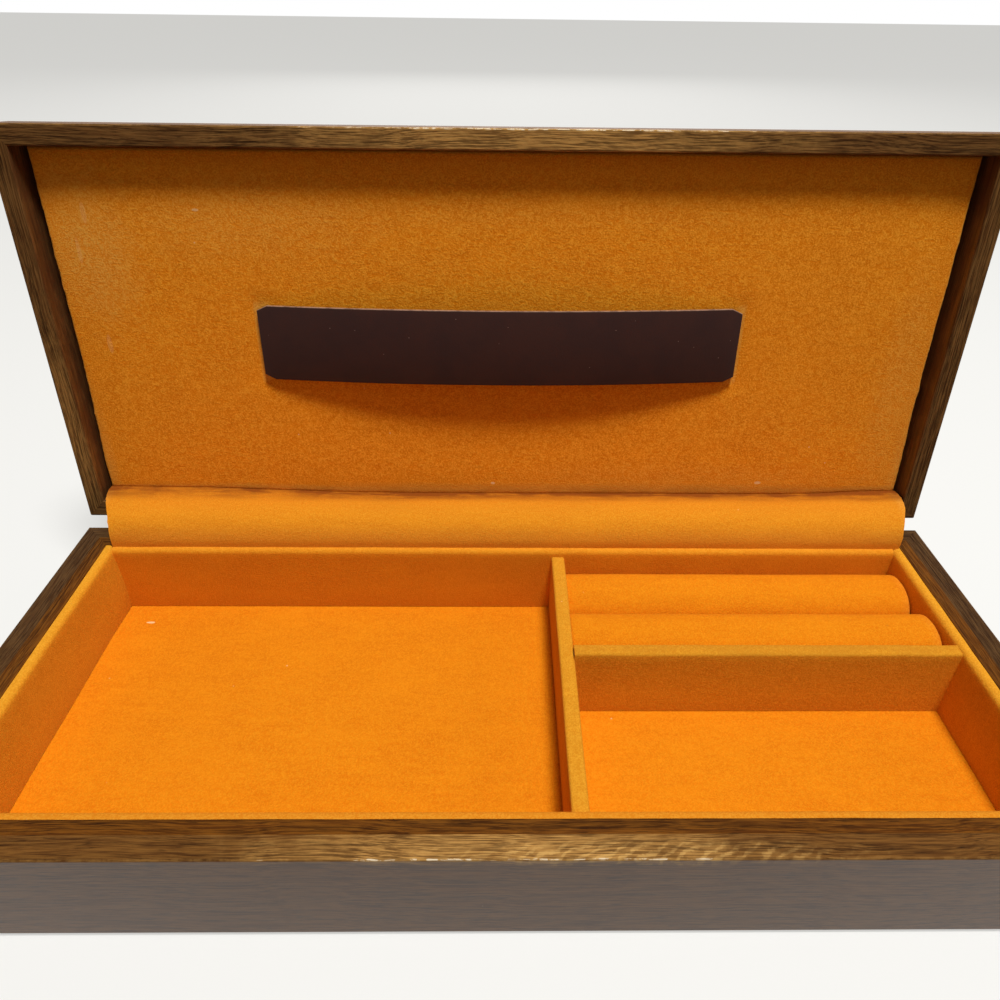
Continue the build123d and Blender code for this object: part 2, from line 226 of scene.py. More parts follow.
def drop_faces(piece: Piece, test: Callable[[Any], bool]) -> None:
    """Deletes the faces of a piece that pass a test.

    Args:
        piece: The piece to edit.
        test: Tells which faces go.
    """
    with editing(piece) as shape:
        pick(shape.faces, test)
        bpy.ops.mesh.delete(type="FACE")


def round_off(piece: Piece, test: Callable[[Any], bool], width: float, steps: int = 4) -> None:
    """Bevels the edges of a piece that pass a test.

    Args:
        piece: The piece to edit.
        test: Tells which edges to bevel.
        width: Width of the bevel, in metres.
        steps: Number of segments.
    """
    with editing(piece, "EDGE") as shape:
        pick(shape.edges, test)
        bpy.ops.mesh.bevel(offset=width, segments=steps, affect="EDGES", clamp_overlap=True)


def slice_up(piece: Piece, axis: Axis, step: float) -> None:
    """Cuts a piece all through, again and again along an axis.

    Args:
        piece: The piece to cut.
        axis: Direction that the cuts follow one another in.
        step: Distance between cuts, in metres.
    """
    places = [vertex.co[axis.value] for vertex in piece.data.vertices]
    low, high = min(places), max(places)
    count = max(1, round((high - low) / step))
    normal = [float(axis.value == k) for k in range(3)]
    with editing(piece):
        for k in range(1, count):
            place = [share * (low + (high - low) * k / count) for share in normal]
            bpy.ops.mesh.select_all(action="SELECT")
            bpy.ops.mesh.bisect(plane_co=place, plane_no=normal)


def modify(piece: Piece, kind: str, **settings: Any) -> None:
    """Adds one modifier to a piece and applies it.

    Args:
        piece: The piece to change.
        kind: Blender's name of the modifier.
        **settings: Values of the modifier.
    """
    select_only(piece)
    made = piece.modifiers.new(kind.title(), kind)
    for name, value in settings.items():
        setattr(made, name, value)
    bpy.ops.object.modifier_apply(modifier=made.name)


def reshape(piece: Piece, move: Callable[[Vector], Vector]) -> None:
    """Moves every point of a piece by a rule, as sculpting by hand would.

    Args:
        piece: The piece to change.
        move: Gives the new place of a point.
    """
    for vertex in piece.data.vertices:
        vertex.co = move(vertex.co.copy())
    piece.data.update()


def mark(piece: Piece, name: str, weigh: Callable[[Vector], float]) -> None:
    """Writes a value on every point of a piece, for its material to read.

    Args:
        piece: The piece to mark.
        name: Name of the value.
        weigh: Gives the value of a place.
    """
    attribute = piece.data.attributes.new(name, "FLOAT", "POINT")
    for vertex, row in zip(piece.data.vertices, attribute.data):
        row.value = weigh(vertex.co)


def smooth(piece: Piece, angle: float = 40) -> None:
    """Shades a piece smooth, but for edges sharper than an angle in degrees."""
    select_only(piece)
    bpy.ops.object.shade_smooth_by_angle(angle=math.radians(angle))


def ripple(point: Vector, size: float, seed: float = 0.0) -> float:
    """Smooth unevenness of a surface.

    Args:
        point: Place, in metres.
        size: Breadth of a bump, in metres.
        seed: Moves the pattern, so that pieces differ.

    Returns:
        A value from about -1 to 1.
    """
    return noise.noise(point / size + Vector((seed, 1.7 * seed, 2.3 * seed)))


def ease(value: float, low: float, high: float) -> float:
    """Smooth step from 0 at low to 1 at high."""
    share = min(1.0, max(0.0, (value - low) / (high - low)))
    return share * share * (3 - 2 * share)


def crease_rise(x: float) -> float:
    """How much higher the crease between flap and lid pad is than in its middle.

    Args:
        x: Place along the box, in metres.

    Returns:
        The rise, in metres: the crease climbs towards both ends.
    """
    left = 2.4 * MM * ease(-x, 35 * MM, 150 * MM)
    right = 1.6 * MM * ease(x, 105 * MM, 156 * MM)
    return left + right + 0.22 * MM * ripple(Vector((x, 0, 0)), 24 * MM, 8.2)


# Shader building


class Graph:
    """Adds and joins the nodes of one node tree."""

    def __init__(self, tree: bpy.types.NodeTree) -> None:
        """Takes a tree and empties it."""
        self.tree = tree
        tree.nodes.clear()

    def feed(self, socket: Socket, value: Any) -> None:
        """Links a socket to another one, or gives it a plain value.

        Args:
            socket: The input to feed.
            value: A socket, a number, a vector or a colour.
        """
        if isinstance(value, bpy.types.NodeSocket):
            self.tree.links.new(value, socket)
        else:
            socket.default_value = value

    def add(self, kind: str, inputs: dict | None = None, **settings: Any) -> bpy.types.Node:
        """Adds one node.

        Args:
            kind: The node's type, without the words ShaderNode.
            inputs: Values or sockets, by the input's name or number.
            **settings: The node's own settings.

        Returns:
            The new node.
        """
        node = self.tree.nodes.new(f"ShaderNode{kind}")
        for name, value in settings.items():
            setattr(node, name, value)
        for key, value in (inputs or {}).items():
            self.feed(node.inputs[key], value)
        return node

    def calc(self, operation: str, first: Any, second: Any = 0.0) -> Socket:
        """Result of a Math node."""
        return self.add("Math", {0: first, 1: second}, operation=operation).outputs[0]

    def times(self, *factors: Any) -> Socket:
        """Product of several values.

        Args:
            *factors: Sockets or numbers.

        Returns:
            The product.
        """
        product = factors[0]
        for factor in factors[1:]:
            product = self.calc("MULTIPLY", product, factor)
        return product

    def plus(self, first: Any, second: Any) -> Socket:
        """Sum of two values."""
        return self.calc("ADD", first, second)

    def span(self, value: Any, low: Any, high: Any, start: Any = 0.0, end: Any = 1.0) -> Socket:
        """Smooth change from start to end while a value goes from low to high.

        Args:
            value: The value to follow.
            low: Where the change begins.
            high: Where it ends.
            start: Result at low.
            end: Result at high.

        Returns:
            The result.
        """
        inputs = {0: value, 1: low, 2: high, 3: start, 4: end}
        return self.add("MapRange", inputs, interpolation_type="SMOOTHSTEP").outputs[0]

    def mix(self, share: Any, first: Any, second: Any) -> Socket:
        """Mix of two colours."""
        return self.add("Mix", {0: share, 6: first, 7: second}, data_type="RGBA").outputs[2]

    def cloud(self, vector: Socket, scale: Any, detail: float = 2.0, rough: float = 0.5,
              warp: float = 0.0) -> Socket:
        """Value of a noise texture.

        Args:
            vector: Place that the noise is read at.
            scale: Bumps in a metre.
            detail: How many finer layers it has.
            rough: How strong the finer layers are.
            warp: How much it is distorted.

        Returns:
            The value, from 0 to 1.
        """
        inputs = {"Vector": vector, "Scale": scale, "Detail": detail, "Roughness": rough,
                  "Distortion": warp}
        return self.add("TexNoise", inputs).outputs[0]

    def place(self, vector: Socket, move: tuple = (0, 0, 0), turn: tuple = (0, 0, 0),
              scale: tuple = (1, 1, 1)) -> Socket:
        """A vector that is scaled, turned and moved.

        Args:
            vector: The vector.
            move: How far it moves.
            turn: Its turn, in radians.
            scale: Its stretch along each axis.

        Returns:
            The new vector.
        """
        inputs = {"Vector": vector, "Location": move, "Rotation": turn, "Scale": scale}
        return self.add("Mapping", inputs).outputs[0]

    def use(self, group: bpy.types.NodeTree, **inputs: Any) -> bpy.types.Node:
        """Places a shared group and feeds its inputs, with _ for a space.

        Args:
            group: The shared group.
            **inputs: Values or sockets, by the input's name.

        Returns:
            The new node.
        """
        node = self.tree.nodes.new("ShaderNodeGroup")
        node.node_tree = group
        for name, value in inputs.items():
            self.feed(node.inputs[name.replace("_", " ")], value)
        return node


def new_group(
    name: str, inputs: dict[str, Any], outputs: tuple[str, ...]
) -> tuple[Graph, Any, Any]:
    """Starts a shader group.

    Args:
        name: Name of the group.
        inputs: Default value of each input; a number, or a vector of three.
        outputs: Names of the outputs, all of them numbers.

    Returns:
        The graph, the group's input sockets by name and its output sockets by name.
    """
    tree = bpy.data.node_groups.new(name, "ShaderNodeTree")
    for label, value in inputs.items():
        kind = "NodeSocketVector" if isinstance(value, tuple) else "NodeSocketFloat"
        tree.interface.new_socket(label, in_out="INPUT", socket_type=kind).default_value = value
    for label in outputs:
        tree.interface.new_socket(label, in_out="OUTPUT", socket_type="NodeSocketFloat")
    graph = Graph(tree)
    start, end = tree.nodes.new("NodeGroupInput"), tree.nodes.new("NodeGroupOutput")
    return graph, start.outputs, end.inputs


class Effects:
    """The shader groups that several finishes share, each built once."""

    def __init__(self) -> None:
        """Builds every group."""
        self.nap = self._nap()
        self.grain = self._grain()
        self.worn_edge = self._worn_edge()
        self.patch = self._patch()
        self.specks = self._specks()

    @staticmethod
    def _nap() -> bpy.types.NodeTree:
        """Short pile: fine speckle, brushed patches and the height of the tufts.

        Returns:
            The group.
        """
        graph, given, made = new_group(
            "Nap", {"Vector": (0, 0, 0), "Tuft": 0.5}, ("Speckle", "Lay", "Height")
        )
        per_metre = graph.calc("DIVIDE", 1000.0, given["Tuft"])
        fine = graph.cloud(given["Vector"], per_metre, detail=2.0, rough=0.7)
        coarser = graph.times(per_metre, 0.36)
        clump = graph.cloud(given["Vector"], coarser, detail=3.0, rough=0.7)
        both = graph.plus(graph.times(fine, 0.7), graph.times(clump, 0.3))
        broad = graph.cloud(given["Vector"], 45.0, detail=5.0, rough=0.72, warp=0.4)
        stretched = graph.place(given["Vector"], scale=(70, 330, 200))
        brushed = graph.cloud(stretched, 1.0, detail=4.0, rough=0.7, warp=0.6)
        lay = graph.plus(graph.times(broad, 0.5), graph.times(brushed, 0.5))
        graph.feed(made["Speckle"], graph.span(both, 0.38, 0.66))
        graph.feed(made["Lay"], graph.span(lay, 0.34, 0.66))
        graph.feed(made["Height"], both)
        return graph.tree

    @staticmethod
    def _grain() -> bpy.types.NodeTree:
        """Streaky open grain that runs along X, with pores and a wavy figure.

        Returns:
            The group.
        """
        graph, given, made = new_group(
            "Grain", {"Vector": (0, 0, 0)}, ("Streak", "Band", "Pores", "Ripple")
        )
        sway = graph.cloud(graph.place(given["Vector"], scale=(14, 5, 5)), 1.0, detail=2.0)
        sway = graph.times(graph.calc("SUBTRACT", sway, 0.5), 0.006)
        moved = graph.add(
            "VectorMath",
            {0: given["Vector"], 1: graph.add("CombineXYZ", {1: sway, 2: sway}).outputs[0]},
            operation="ADD",
        ).outputs[0]

        def strands(along: float, across: float, detail: float, rough: float) -> Socket:
            """Noise that is drawn out along the grain.

            Args:
                along: Bumps in a metre along the grain.
                across: Bumps in a metre across it.
                detail: How many finer layers it has.
                rough: How strong the finer layers are.

            Returns:
                The value, from 0 to 1.
            """
            drawn_out = graph.place(moved, scale=(along, across, across))
            return graph.cloud(drawn_out, 1.0, detail, rough)

        band = strands(9, 480, 4.0, 0.65)
        streak = strands(60, 1900, 4.0, 0.7)
        fibre = strands(110, 3600, 2.0, 0.6)
        streak = graph.plus(graph.times(streak, 0.6), graph.times(fibre, 0.4))
        pores = strands(130, 2300, 2.0, 0.6)
        waves = graph.add(
            "TexWave",
            {"Vector": graph.place(given["Vector"], turn=(0, 0, 1.05)), "Scale": 125.0,
             "Distortion": 8.0, "Detail": 4.0, "Detail Scale": 1.1, "Detail Roughness": 0.6},
            wave_type="BANDS",
        ).outputs["Fac"]
        waves = graph.times(
            graph.span(waves, 0.35, 1.0), graph.span(streak, 0.38, 0.6, start=0.1)
        )
        graph.feed(made["Streak"], graph.span(streak, 0.40, 0.61))
        graph.feed(made["Band"], graph.span(band, 0.36, 0.64))
        graph.feed(made["Pores"], graph.span(pores, 0.42, 0.30))
        graph.feed(made["Ripple"], waves)
        return graph.tree

    @staticmethod
    def _worn_edge() -> bpy.types.NodeTree:
        """Mask of the outer edges of a box, broken up as wear is.

        Returns:
            The group.
        """
        graph, given, made = new_group(
            "Worn Edge",
            {"Vector": (0, 0, 0), "Half X": 0.165, "Half Y": 0.07, "Low Z": 0.0, "High Z": 0.036,
             "Width": 0.0012, "Break": 0.5},
            ("Mask",),
        )
        parts = graph.add("SeparateXYZ", {0: given["Vector"]}).outputs

        def near(value: Socket, limit: Socket) -> Socket:
            """1 at a limit, falling to 0 within the width.

            Args:
                value: Place along one axis.
                limit: Where the edge is.

            Returns:
                The mask.
            """
            gap = graph.calc("ABSOLUTE", graph.calc("SUBTRACT", value, limit))
            return graph.span(gap, given["Width"], 0.0)

        x = near(graph.calc("ABSOLUTE", parts[0]), given["Half X"])
        y = near(graph.calc("ABSOLUTE", parts[1]), given["Half Y"])
        z = graph.calc("MAXIMUM", near(parts[2], given["Low Z"]), near(parts[2], given["High Z"]))
        edges = [graph.times(*pair) for pair in ((x, y), (y, z), (x, z))]
        edge = graph.calc("MAXIMUM", graph.calc("MAXIMUM", edges[0], edges[1]), edges[2])
        rough = graph.cloud(given["Vector"], 330.0, detail=4.0, rough=0.7)
        low = graph.times(given["Break"], 0.8)
        kept = graph.span(rough, low, graph.plus(low, 0.22))
        graph.feed(made["Mask"], graph.times(edge, kept))
        return graph.tree

    @staticmethod
    def _patch() -> bpy.types.NodeTree:
        """Mask of a soft, uneven patch round a centre.

        Returns:
            The group.
        """
        graph, given, made = new_group(
            "Soft Patch", {"Vector": (0, 0, 0), "Centre": (0, 0, 0), "Reach": (1, 1, 1)}, ("Mask",)
        )
        away = graph.add(
            "VectorMath", {0: given["Vector"], 1: given["Centre"]}, operation="SUBTRACT"
        )
        away = graph.add("VectorMath", {0: away.outputs[0], 1: given["Reach"]}, operation="DIVIDE")
        far = graph.add("VectorMath", {0: away.outputs[0]}, operation="LENGTH").outputs["Value"]
        rough = graph.cloud(given["Vector"], 120.0, detail=4.0, rough=0.65)
        rough = graph.calc("SUBTRACT", rough, 0.5)
        far = graph.plus(far, graph.times(rough, 0.9))
        graph.feed(made["Mask"], graph.span(far, 1.0, 0.15))
        return graph.tree

    @staticmethod
    def _specks() -> bpy.types.NodeTree:
        """Mask of sparse dust and lint specks.

        Returns:
            The group.
        """
        graph, given, made = new_group(
            "Specks", {"Vector": (0, 0, 0), "Spacing": 6.0, "Size": 0.06, "Share": 0.4}, ("Mask",)
        )
        scale = graph.calc("DIVIDE", 1000.0, given["Spacing"])
        cells = graph.add("TexVoronoi", {"Vector": given["Vector"], "Scale": scale})
        core = graph.times(given["Size"], 0.4)
        spot = graph.span(cells.outputs["Distance"], given["Size"], core)
        chance = graph.add("SeparateXYZ", {0: cells.outputs["Color"]}).outputs[0]
        chosen = graph.calc("LESS_THAN", chance, given["Share"])
        graph.feed(made["Mask"], graph.times(spot, chosen))
        return graph.tree


def new_material(name: str) -> Graph:
    """Starts an empty material and returns its graph.

    Args:
        name: Name of the material.

    Returns:
        The graph of its nodes.
    """
    material = bpy.data.materials.new(name)
    material.use_nodes = True
    return Graph(material.node_tree)


def close_material(graph: Graph, shader: bpy.types.Node) -> bpy.types.Material:
    """Joins a shader to the output and returns the material of a graph."""
    graph.add("OutputMaterial", {"Surface": shader.outputs[0]})
    return next(m for m in bpy.data.materials if m.node_tree == graph.tree)


def dress(piece: Piece, material: bpy.types.Material) -> None:
    """Gives a piece one material all over.

    Args:
        piece: The piece to dress.
        material: Its finish.
    """
    if not piece.material_slots:
        piece.data.materials.append(material)
    for place in piece.material_slots:
        place.material = material


def closed_place(graph: Graph, spot: Socket, closed_by: tuple[float, Vector]) -> Socket:
    """Turns a place on the open lid to where it is on the closed one.

    Args:
        graph: The material's graph.
        spot: Place on the open lid.
        closed_by: The angle that closes the lid, and a point of the pin.

    Returns:
        The place on the closed lid.
    """
    angle, pin = closed_by
    move = pin - Matrix.Rotation(angle, 3, "X") @ pin
    return graph.place(spot, move=tuple(move), turn=(angle, 0, 0))


# Finishes


@dataclass(frozen=True)
class Patch:
    """A soft patch of worn or hazy surface."""

    centre: tuple[float, float, float]
    reach: tuple[float, float, float]
    strength: float

    def mask(self, graph: Graph, effects: Effects, spot: Socket) -> Socket:
        """How much of the patch a place has, before its strength.

        Args:
            graph: The material's graph.
            effects: The shared shader groups.
            spot: Place on the piece.

        Returns:
            The mask.
        """
        group = graph.use(effects.patch, Vector=spot, Centre=self.centre, Reach=self.reach)
        return group.outputs["Mask"]


@dataclass(frozen=True)
class Dust:
    """Sparse specks of dust or lint over a finish."""

    spacing: float
    size: float
    share: float
    strength: float
    tone: Colour

    def settle(self, graph: Graph, effects: Effects, spot: Socket, colour: Socket) -> Socket:
        """Lays the specks on a colour.

        Args:
            graph: The material's graph.
            effects: The shared shader groups.
            spot: Place on the piece.
            colour: The colour below.

        Returns:
            The colour with its specks.
        """
        specks = graph.use(
            effects.specks, Vector=spot, Spacing=self.spacing, Size=self.size, Share=self.share
        )
        return graph.mix(graph.times(specks.outputs["Mask"], self.strength), colour, self.tone)


@dataclass(frozen=True)
class VelvetFinish:
    """Short cotton velvet with a speckled, slightly brushed nap."""

    name: str
    deep: Colour
    mid: Colour
    pale: Colour
    # Paler tone of worn nap, also used as painted light on the flap's foot
    rubbed: Colour = srgb(236, 166, 68)
    # Colour of painted shade, for creases, the lid rail's shadow and shaded tops
    soiled: Colour = srgb(140, 72, 20)
    tuft: float = 0.5
    speckle: float = 0.6
    follows_surface: bool = False
    closed_by: tuple[float, Vector] | None = None
    patches: tuple[Patch, ...] = ()
    lint: tuple[Patch, ...] = ()
    lint_tone: Colour = srgb(246, 206, 150)
    sheen_tint: Colour = srgb(255, 196, 120)

    def build(self, effects: Effects) -> bpy.types.Material:
        """Builds the material.

        Args:
            effects: The shared shader groups.

        Returns:
            The finished material.
        """
        graph = new_material(self.name)
        coordinates = graph.add("TexCoord").outputs["UV" if self.follows_surface else "Object"]
        if self.closed_by:
            coordinates = closed_place(graph, coordinates, self.closed_by)
        nap = graph.use(effects.nap, Vector=coordinates, Tuft=self.tuft).outputs
        colour = graph.mix(nap["Lay"], self.deep, self.mid)
        tip = graph.times(nap["Speckle"], self.speckle)
        colour = graph.mix(tip, colour, self.pale)
        for patch in self.patches:
            spots = graph.span(nap["Speckle"], 0.15, 0.9, start=0.25)
            mask = graph.times(patch.mask(graph, effects, coordinates), spots, patch.strength)
            colour = graph.mix(mask, colour, self.rubbed)
        # Paler where a piece marks wear, and painted light where the flap's foot is marked
        rub = graph.add("Attribute", attribute_name="rub").outputs["Fac"]
        rub = graph.times(rub, graph.span(nap["Speckle"], -0.4, 1.0, start=0.35))
        colour = graph.mix(graph.times(rub, 0.8), colour, self.rubbed)
        # Painted shade where a piece marks it: creases, the shadow of the lid's top rail and some
        # tops
        soil = graph.add("Attribute", attribute_name="soil").outputs["Fac"]
        soil = graph.times(soil, graph.span(nap["Lay"], -0.3, 1.0, start=0.35))
        colour = graph.mix(graph.times(soil, 0.6), colour, self.soiled)
        specks = Dust(spacing=9.0, size=0.045, share=0.22, strength=0.6, tone=self.lint_tone)
        colour = specks.settle(graph, effects, coordinates, colour)
        for strand in self.lint:
            mask = graph.span(strand.mask(graph, effects, coordinates), 0.1, 0.45)
            colour = graph.mix(graph.times(mask, strand.strength), colour, self.lint_tone)
        bump = graph.add("Bump", {"Height": nap["Height"], "Strength": 0.55, "Distance": 0.0006})
        shader = graph.add("BsdfPrincipled", {
            "Base Color": colour, "Roughness": 0.95, "Normal": bump.outputs[0],
            "Specular IOR Level": 0.03, "Sheen Weight": 0.05, "Sheen Roughness": 0.5,
            "Sheen Tint": self.sheen_tint,
        })
        return close_material(graph, shader)


@dataclass(frozen=True)
class WoodFinish:
    """Stained, lacquered wood with streaky grain and pale worn edges."""

    name: str
    dark: Colour
    mid: Colour
    light: Colour
    worn: Colour = srgb(190, 142, 76)
    curl: Colour = srgb(204, 160, 92)
    chipped: Colour = srgb(226, 206, 172)
    roughness: float = 0.55
    coat: float = 0.95
    edge_wear: float = 0.25
    wear_width: float = 0.85 * MM
    pore: Colour = srgb(34, 18, 7)
    stain: Colour = srgb(82, 47, 23)
    dust: Dust = Dust(7.0, 0.03, 0.12, 0.5, srgb(190, 180, 165))
    grain_along: Axis = Axis.X
    figure: Patch | None = None
    hand_wear: Patch | None = None
    closed_by: tuple[float, Vector] | None = None
    low_z: float = 0.001
    high_z: float = 0.036
    rim_z: float = 0.036
    inner_x: float = 0.0

    def build(self, effects: Effects) -> bpy.types.Material:
        """Builds the material.

        Args:
            effects: The shared shader groups.

        Returns:
            The finished material.
        """
        graph = new_material(self.name)
        spot = graph.add("TexCoord").outputs["Object"]
        if self.closed_by:
            spot = closed_place(graph, spot, self.closed_by)
        quarter = math.pi / 2 if self.grain_along is Axis.Y else 0.0
        along = graph.place(spot, turn=(0, 0, quarter))
        grain = graph.use(effects.grain, Vector=along).outputs
        colour = graph.mix(grain["Band"], self.dark, self.mid)
        colour = graph.mix(graph.times(grain["Streak"], 0.6), colour, self.light)
        colour = graph.mix(graph.times(grain["Pores"], 0.7), colour, self.pore)
        if self.hand_wear:
            fine = graph.span(grain["Streak"], 0.0, 1.0, start=0.22)
            mask = graph.times(
                self.hand_wear.mask(graph, effects, spot), fine, self.hand_wear.strength
            )
            colour = graph.mix(mask, colour, self.worn)
        if self.figure:
            curl = self.figure.mask(graph, effects, spot)
            curl = graph.times(grain["Ripple"], curl, self.figure.strength)
            colour = graph.mix(curl, colour, self.curl)
        edge = graph.use(
            effects.worn_edge, Vector=spot, Low_Z=self.low_z, High_Z=self.high_z,
            Width=self.wear_width, Break=0.46,
        ).outputs["Mask"]
        colour = graph.mix(graph.times(edge, self.edge_wear), colour, self.worn)
        if self.hand_wear:
            chips = graph.span(graph.times(edge, mask), 0.18, 0.5)
            colour = graph.mix(chips, colour, self.chipped)
        if self.inner_x:
            across = graph.calc("ABSOLUTE", graph.add("SeparateXYZ", {0: spot}).outputs[0])
            inside = graph.span(across, self.inner_x + 0.6 * MM, self.inner_x + 0.2 * MM)
            stain = graph.cloud(along, 90.0, detail=4.0, rough=0.6)
            stain = graph.times(inside, graph.span(stain, 0.3, 0.7, start=0.1, end=0.7))
            colour = graph.mix(stain, colour, self.stain)
        colour = self.dust.settle(graph, effects, spot, colour)
        gloss = graph.span(grain["Streak"], 0.0, 1.0, self.roughness + 0.1, self.roughness - 0.06)
        height = graph.calc("SUBTRACT", grain["Streak"], grain["Pores"])
        bump = graph.add("Bump", {"Height": height, "Strength": 0.35, "Distance": 0.00012})
        level = graph.add("SeparateXYZ", {0: spot}).outputs[2]
        from_rim = graph.calc("SUBTRACT", level, self.rim_z)
        off_rim = graph.calc("ABSOLUTE", from_rim)
        lacquer = graph.span(off_rim, 0.2 * MM, 0.7 * MM, end=self.coat)
        shader = graph.add("BsdfPrincipled", {
            "Base Color": colour, "Roughness": gloss, "Normal": bump.outputs[0],
            "Coat Weight": lacquer, "Coat Roughness": 0.36, "Specular IOR Level": 0.03,
        })
        return close_material(graph, shader)


@dataclass(frozen=True)
class LeatherFinish:
    """Smooth dark leather with a fine grain and a paler cut edge, which also carries a painted
    highlight.
    """

    name: str
    face: Colour
    dark: Colour
    edge: Colour
    dust: Dust = Dust(3.2, 0.07, 0.34, 0.6, srgb(150, 120, 105))

    def build(self, effects: Effects) -> bpy.types.Material:
        """Builds the material.

        Args:
            effects: The shared shader groups.

        Returns:
            The finished material.
        """
        graph = new_material(self.name)
        spot = graph.add("TexCoord").outputs["Object"]
        pebble = graph.add("TexVoronoi", {"Vector": spot, "Scale": 1500.0}, feature="SMOOTH_F1")
        tone = graph.cloud(spot, 60.0, detail=4.0, rough=0.6)
        colour = graph.mix(graph.span(tone, 0.3, 0.7), self.dark, self.face)
        # Paler cut edge where the piece marks it, with a painted highlight along the strap's top
        rub = graph.add("Attribute", attribute_name="rub").outputs["Fac"]
        torn = graph.cloud(spot, 500.0, detail=3.0, rough=0.7)
        kept = graph.times(rub, graph.span(torn, 0.3, 0.6, start=0.3))
        colour = graph.mix(kept, colour, self.edge)
        colour = self.dust.settle(graph, effects, spot, colour)
        bump = graph.add("Bump", {
            "Height": pebble.outputs["Distance"], "Strength": 0.25, "Distance": 0.0001,
        })
        shader = graph.add("BsdfPrincipled", {
            "Base Color": colour, "Roughness": graph.span(tone, 0.2, 0.8, 0.52, 0.58),
            "Normal": bump.outputs[0], "Specular IOR Level": 0.16,
        })
        return close_material(graph, shader)


@dataclass(frozen=True)
class PlainFinish:
    """Brass, card, foam, felt and plywood: a base tone with fibres, pores or tarnish."""

    name: str
    tone: Colour
    other: Colour
    scale: tuple[float, float, float]
    roughness: float = 0.8
    metallic: float = 0.0
    bump: float = 0.0002
    dust: Dust = Dust(5.0, 0.05, 0.2, 0.3, srgb(200, 190, 175))

    def build(self, effects: Effects) -> bpy.types.Material:
        """Builds the material.

        Args:
            effects: The shared shader groups.

        Returns:
            The finished material.
        """
        graph = new_material(self.name)
        spot = graph.add("TexCoord").outputs["Object"]
        stretched = graph.place(spot, scale=self.scale)
        coarse = graph.cloud(stretched, 1.0, detail=5.0, rough=0.65)
        fine = graph.cloud(stretched, 6.0, detail=3.0, rough=0.6)
        colour = graph.mix(graph.span(coarse, 0.32, 0.68), self.tone, self.other)
        colour = self.dust.settle(graph, effects, spot, colour)
        bump = graph.add("Bump", {"Height": fine, "Strength": 0.4, "Distance": self.bump})
        shader = graph.add("BsdfPrincipled", {
            "Base Color": colour, "Metallic": self.metallic, "Normal": bump.outputs[0],
            "Roughness": graph.span(coarse, 0.2, 0.8, self.roughness - 0.06, self.roughness + 0.1),
        })
        return close_material(graph, shader)


# Sub-assemblies


@dataclass
class Case:
    """The wooden base: walls, inner frame, bottom panel and felt, with their CAD shapes."""

    effects: Effects
    # The front wall is toned lighter than the sides, partly its own colour and partly painted
    # reflection of the pale surroundings on its lacquer
    front_tones: tuple[Colour, ...] = (srgb(64, 37, 15), srgb(92, 57, 24), srgb(134, 91, 41))
    side_tones: tuple[Colour, ...] = (srgb(46, 27, 13), srgb(68, 43, 22), srgb(106, 76, 42))
    frame_tones: tuple[Colour, ...] = (srgb(52, 26, 7), srgb(84, 45, 12), srgb(134, 82, 24))
    front_wear: Patch = Patch((0.002, -0.0680, 0.0362), (0.090, 0.012, 0.0035), 0.82)
    front_curl: Patch = Patch((0.028, -0.0690, 0.0362), (0.070, 0.0055, 0.0035), 0.8)

    def wall_finish(self, side: Side) -> bpy.types.Material:
        """Wood of one outer wall.

        Args:
            side: The side that the wall stands on.

        Returns:
            The finish.
        """
        in_front = side is Side.FRONT
        return WoodFinish(
            f"walnut_wall_{side.label}", *(self.front_tones if in_front else self.side_tones),
            grain_along=side.run, figure=self.front_curl if in_front else None,
            hand_wear=self.front_wear if in_front else None,
        ).build(self.effects)

    def build(self, nodes: dict[str, Piece]) -> None:
        """Dresses the base's wooden nodes.

        Args:
            nodes: The CAD nodes by name.
        """
        for side in Side:
            dress(nodes[f"base_wall_{side.label}"], self.wall_finish(side))
            frame = WoodFinish(
                f"dark_frame_{side.label}", *self.frame_tones, grain_along=side.run, coat=0.0,
            ).build(self.effects)
            dress(nodes[f"inner_frame_{side.label}"], frame)
            LOG.info("dressed the %s wall and inner frame", side.label)
        board = PlainFinish("bottom_board", srgb(150, 116, 78), srgb(120, 88, 56), (20, 300, 300))
        dress(nodes["base_bottom_panel"], board.build(self.effects))
        felt = PlainFinish(
            "brown_felt", srgb(60, 48, 38), srgb(78, 64, 50), (900, 900, 900), roughness=0.95,
            bump=0.0006,
        )
        dress(nodes["base_felt"], felt.build(self.effects))
        LOG.info("dressed the bottom panel and its felt")


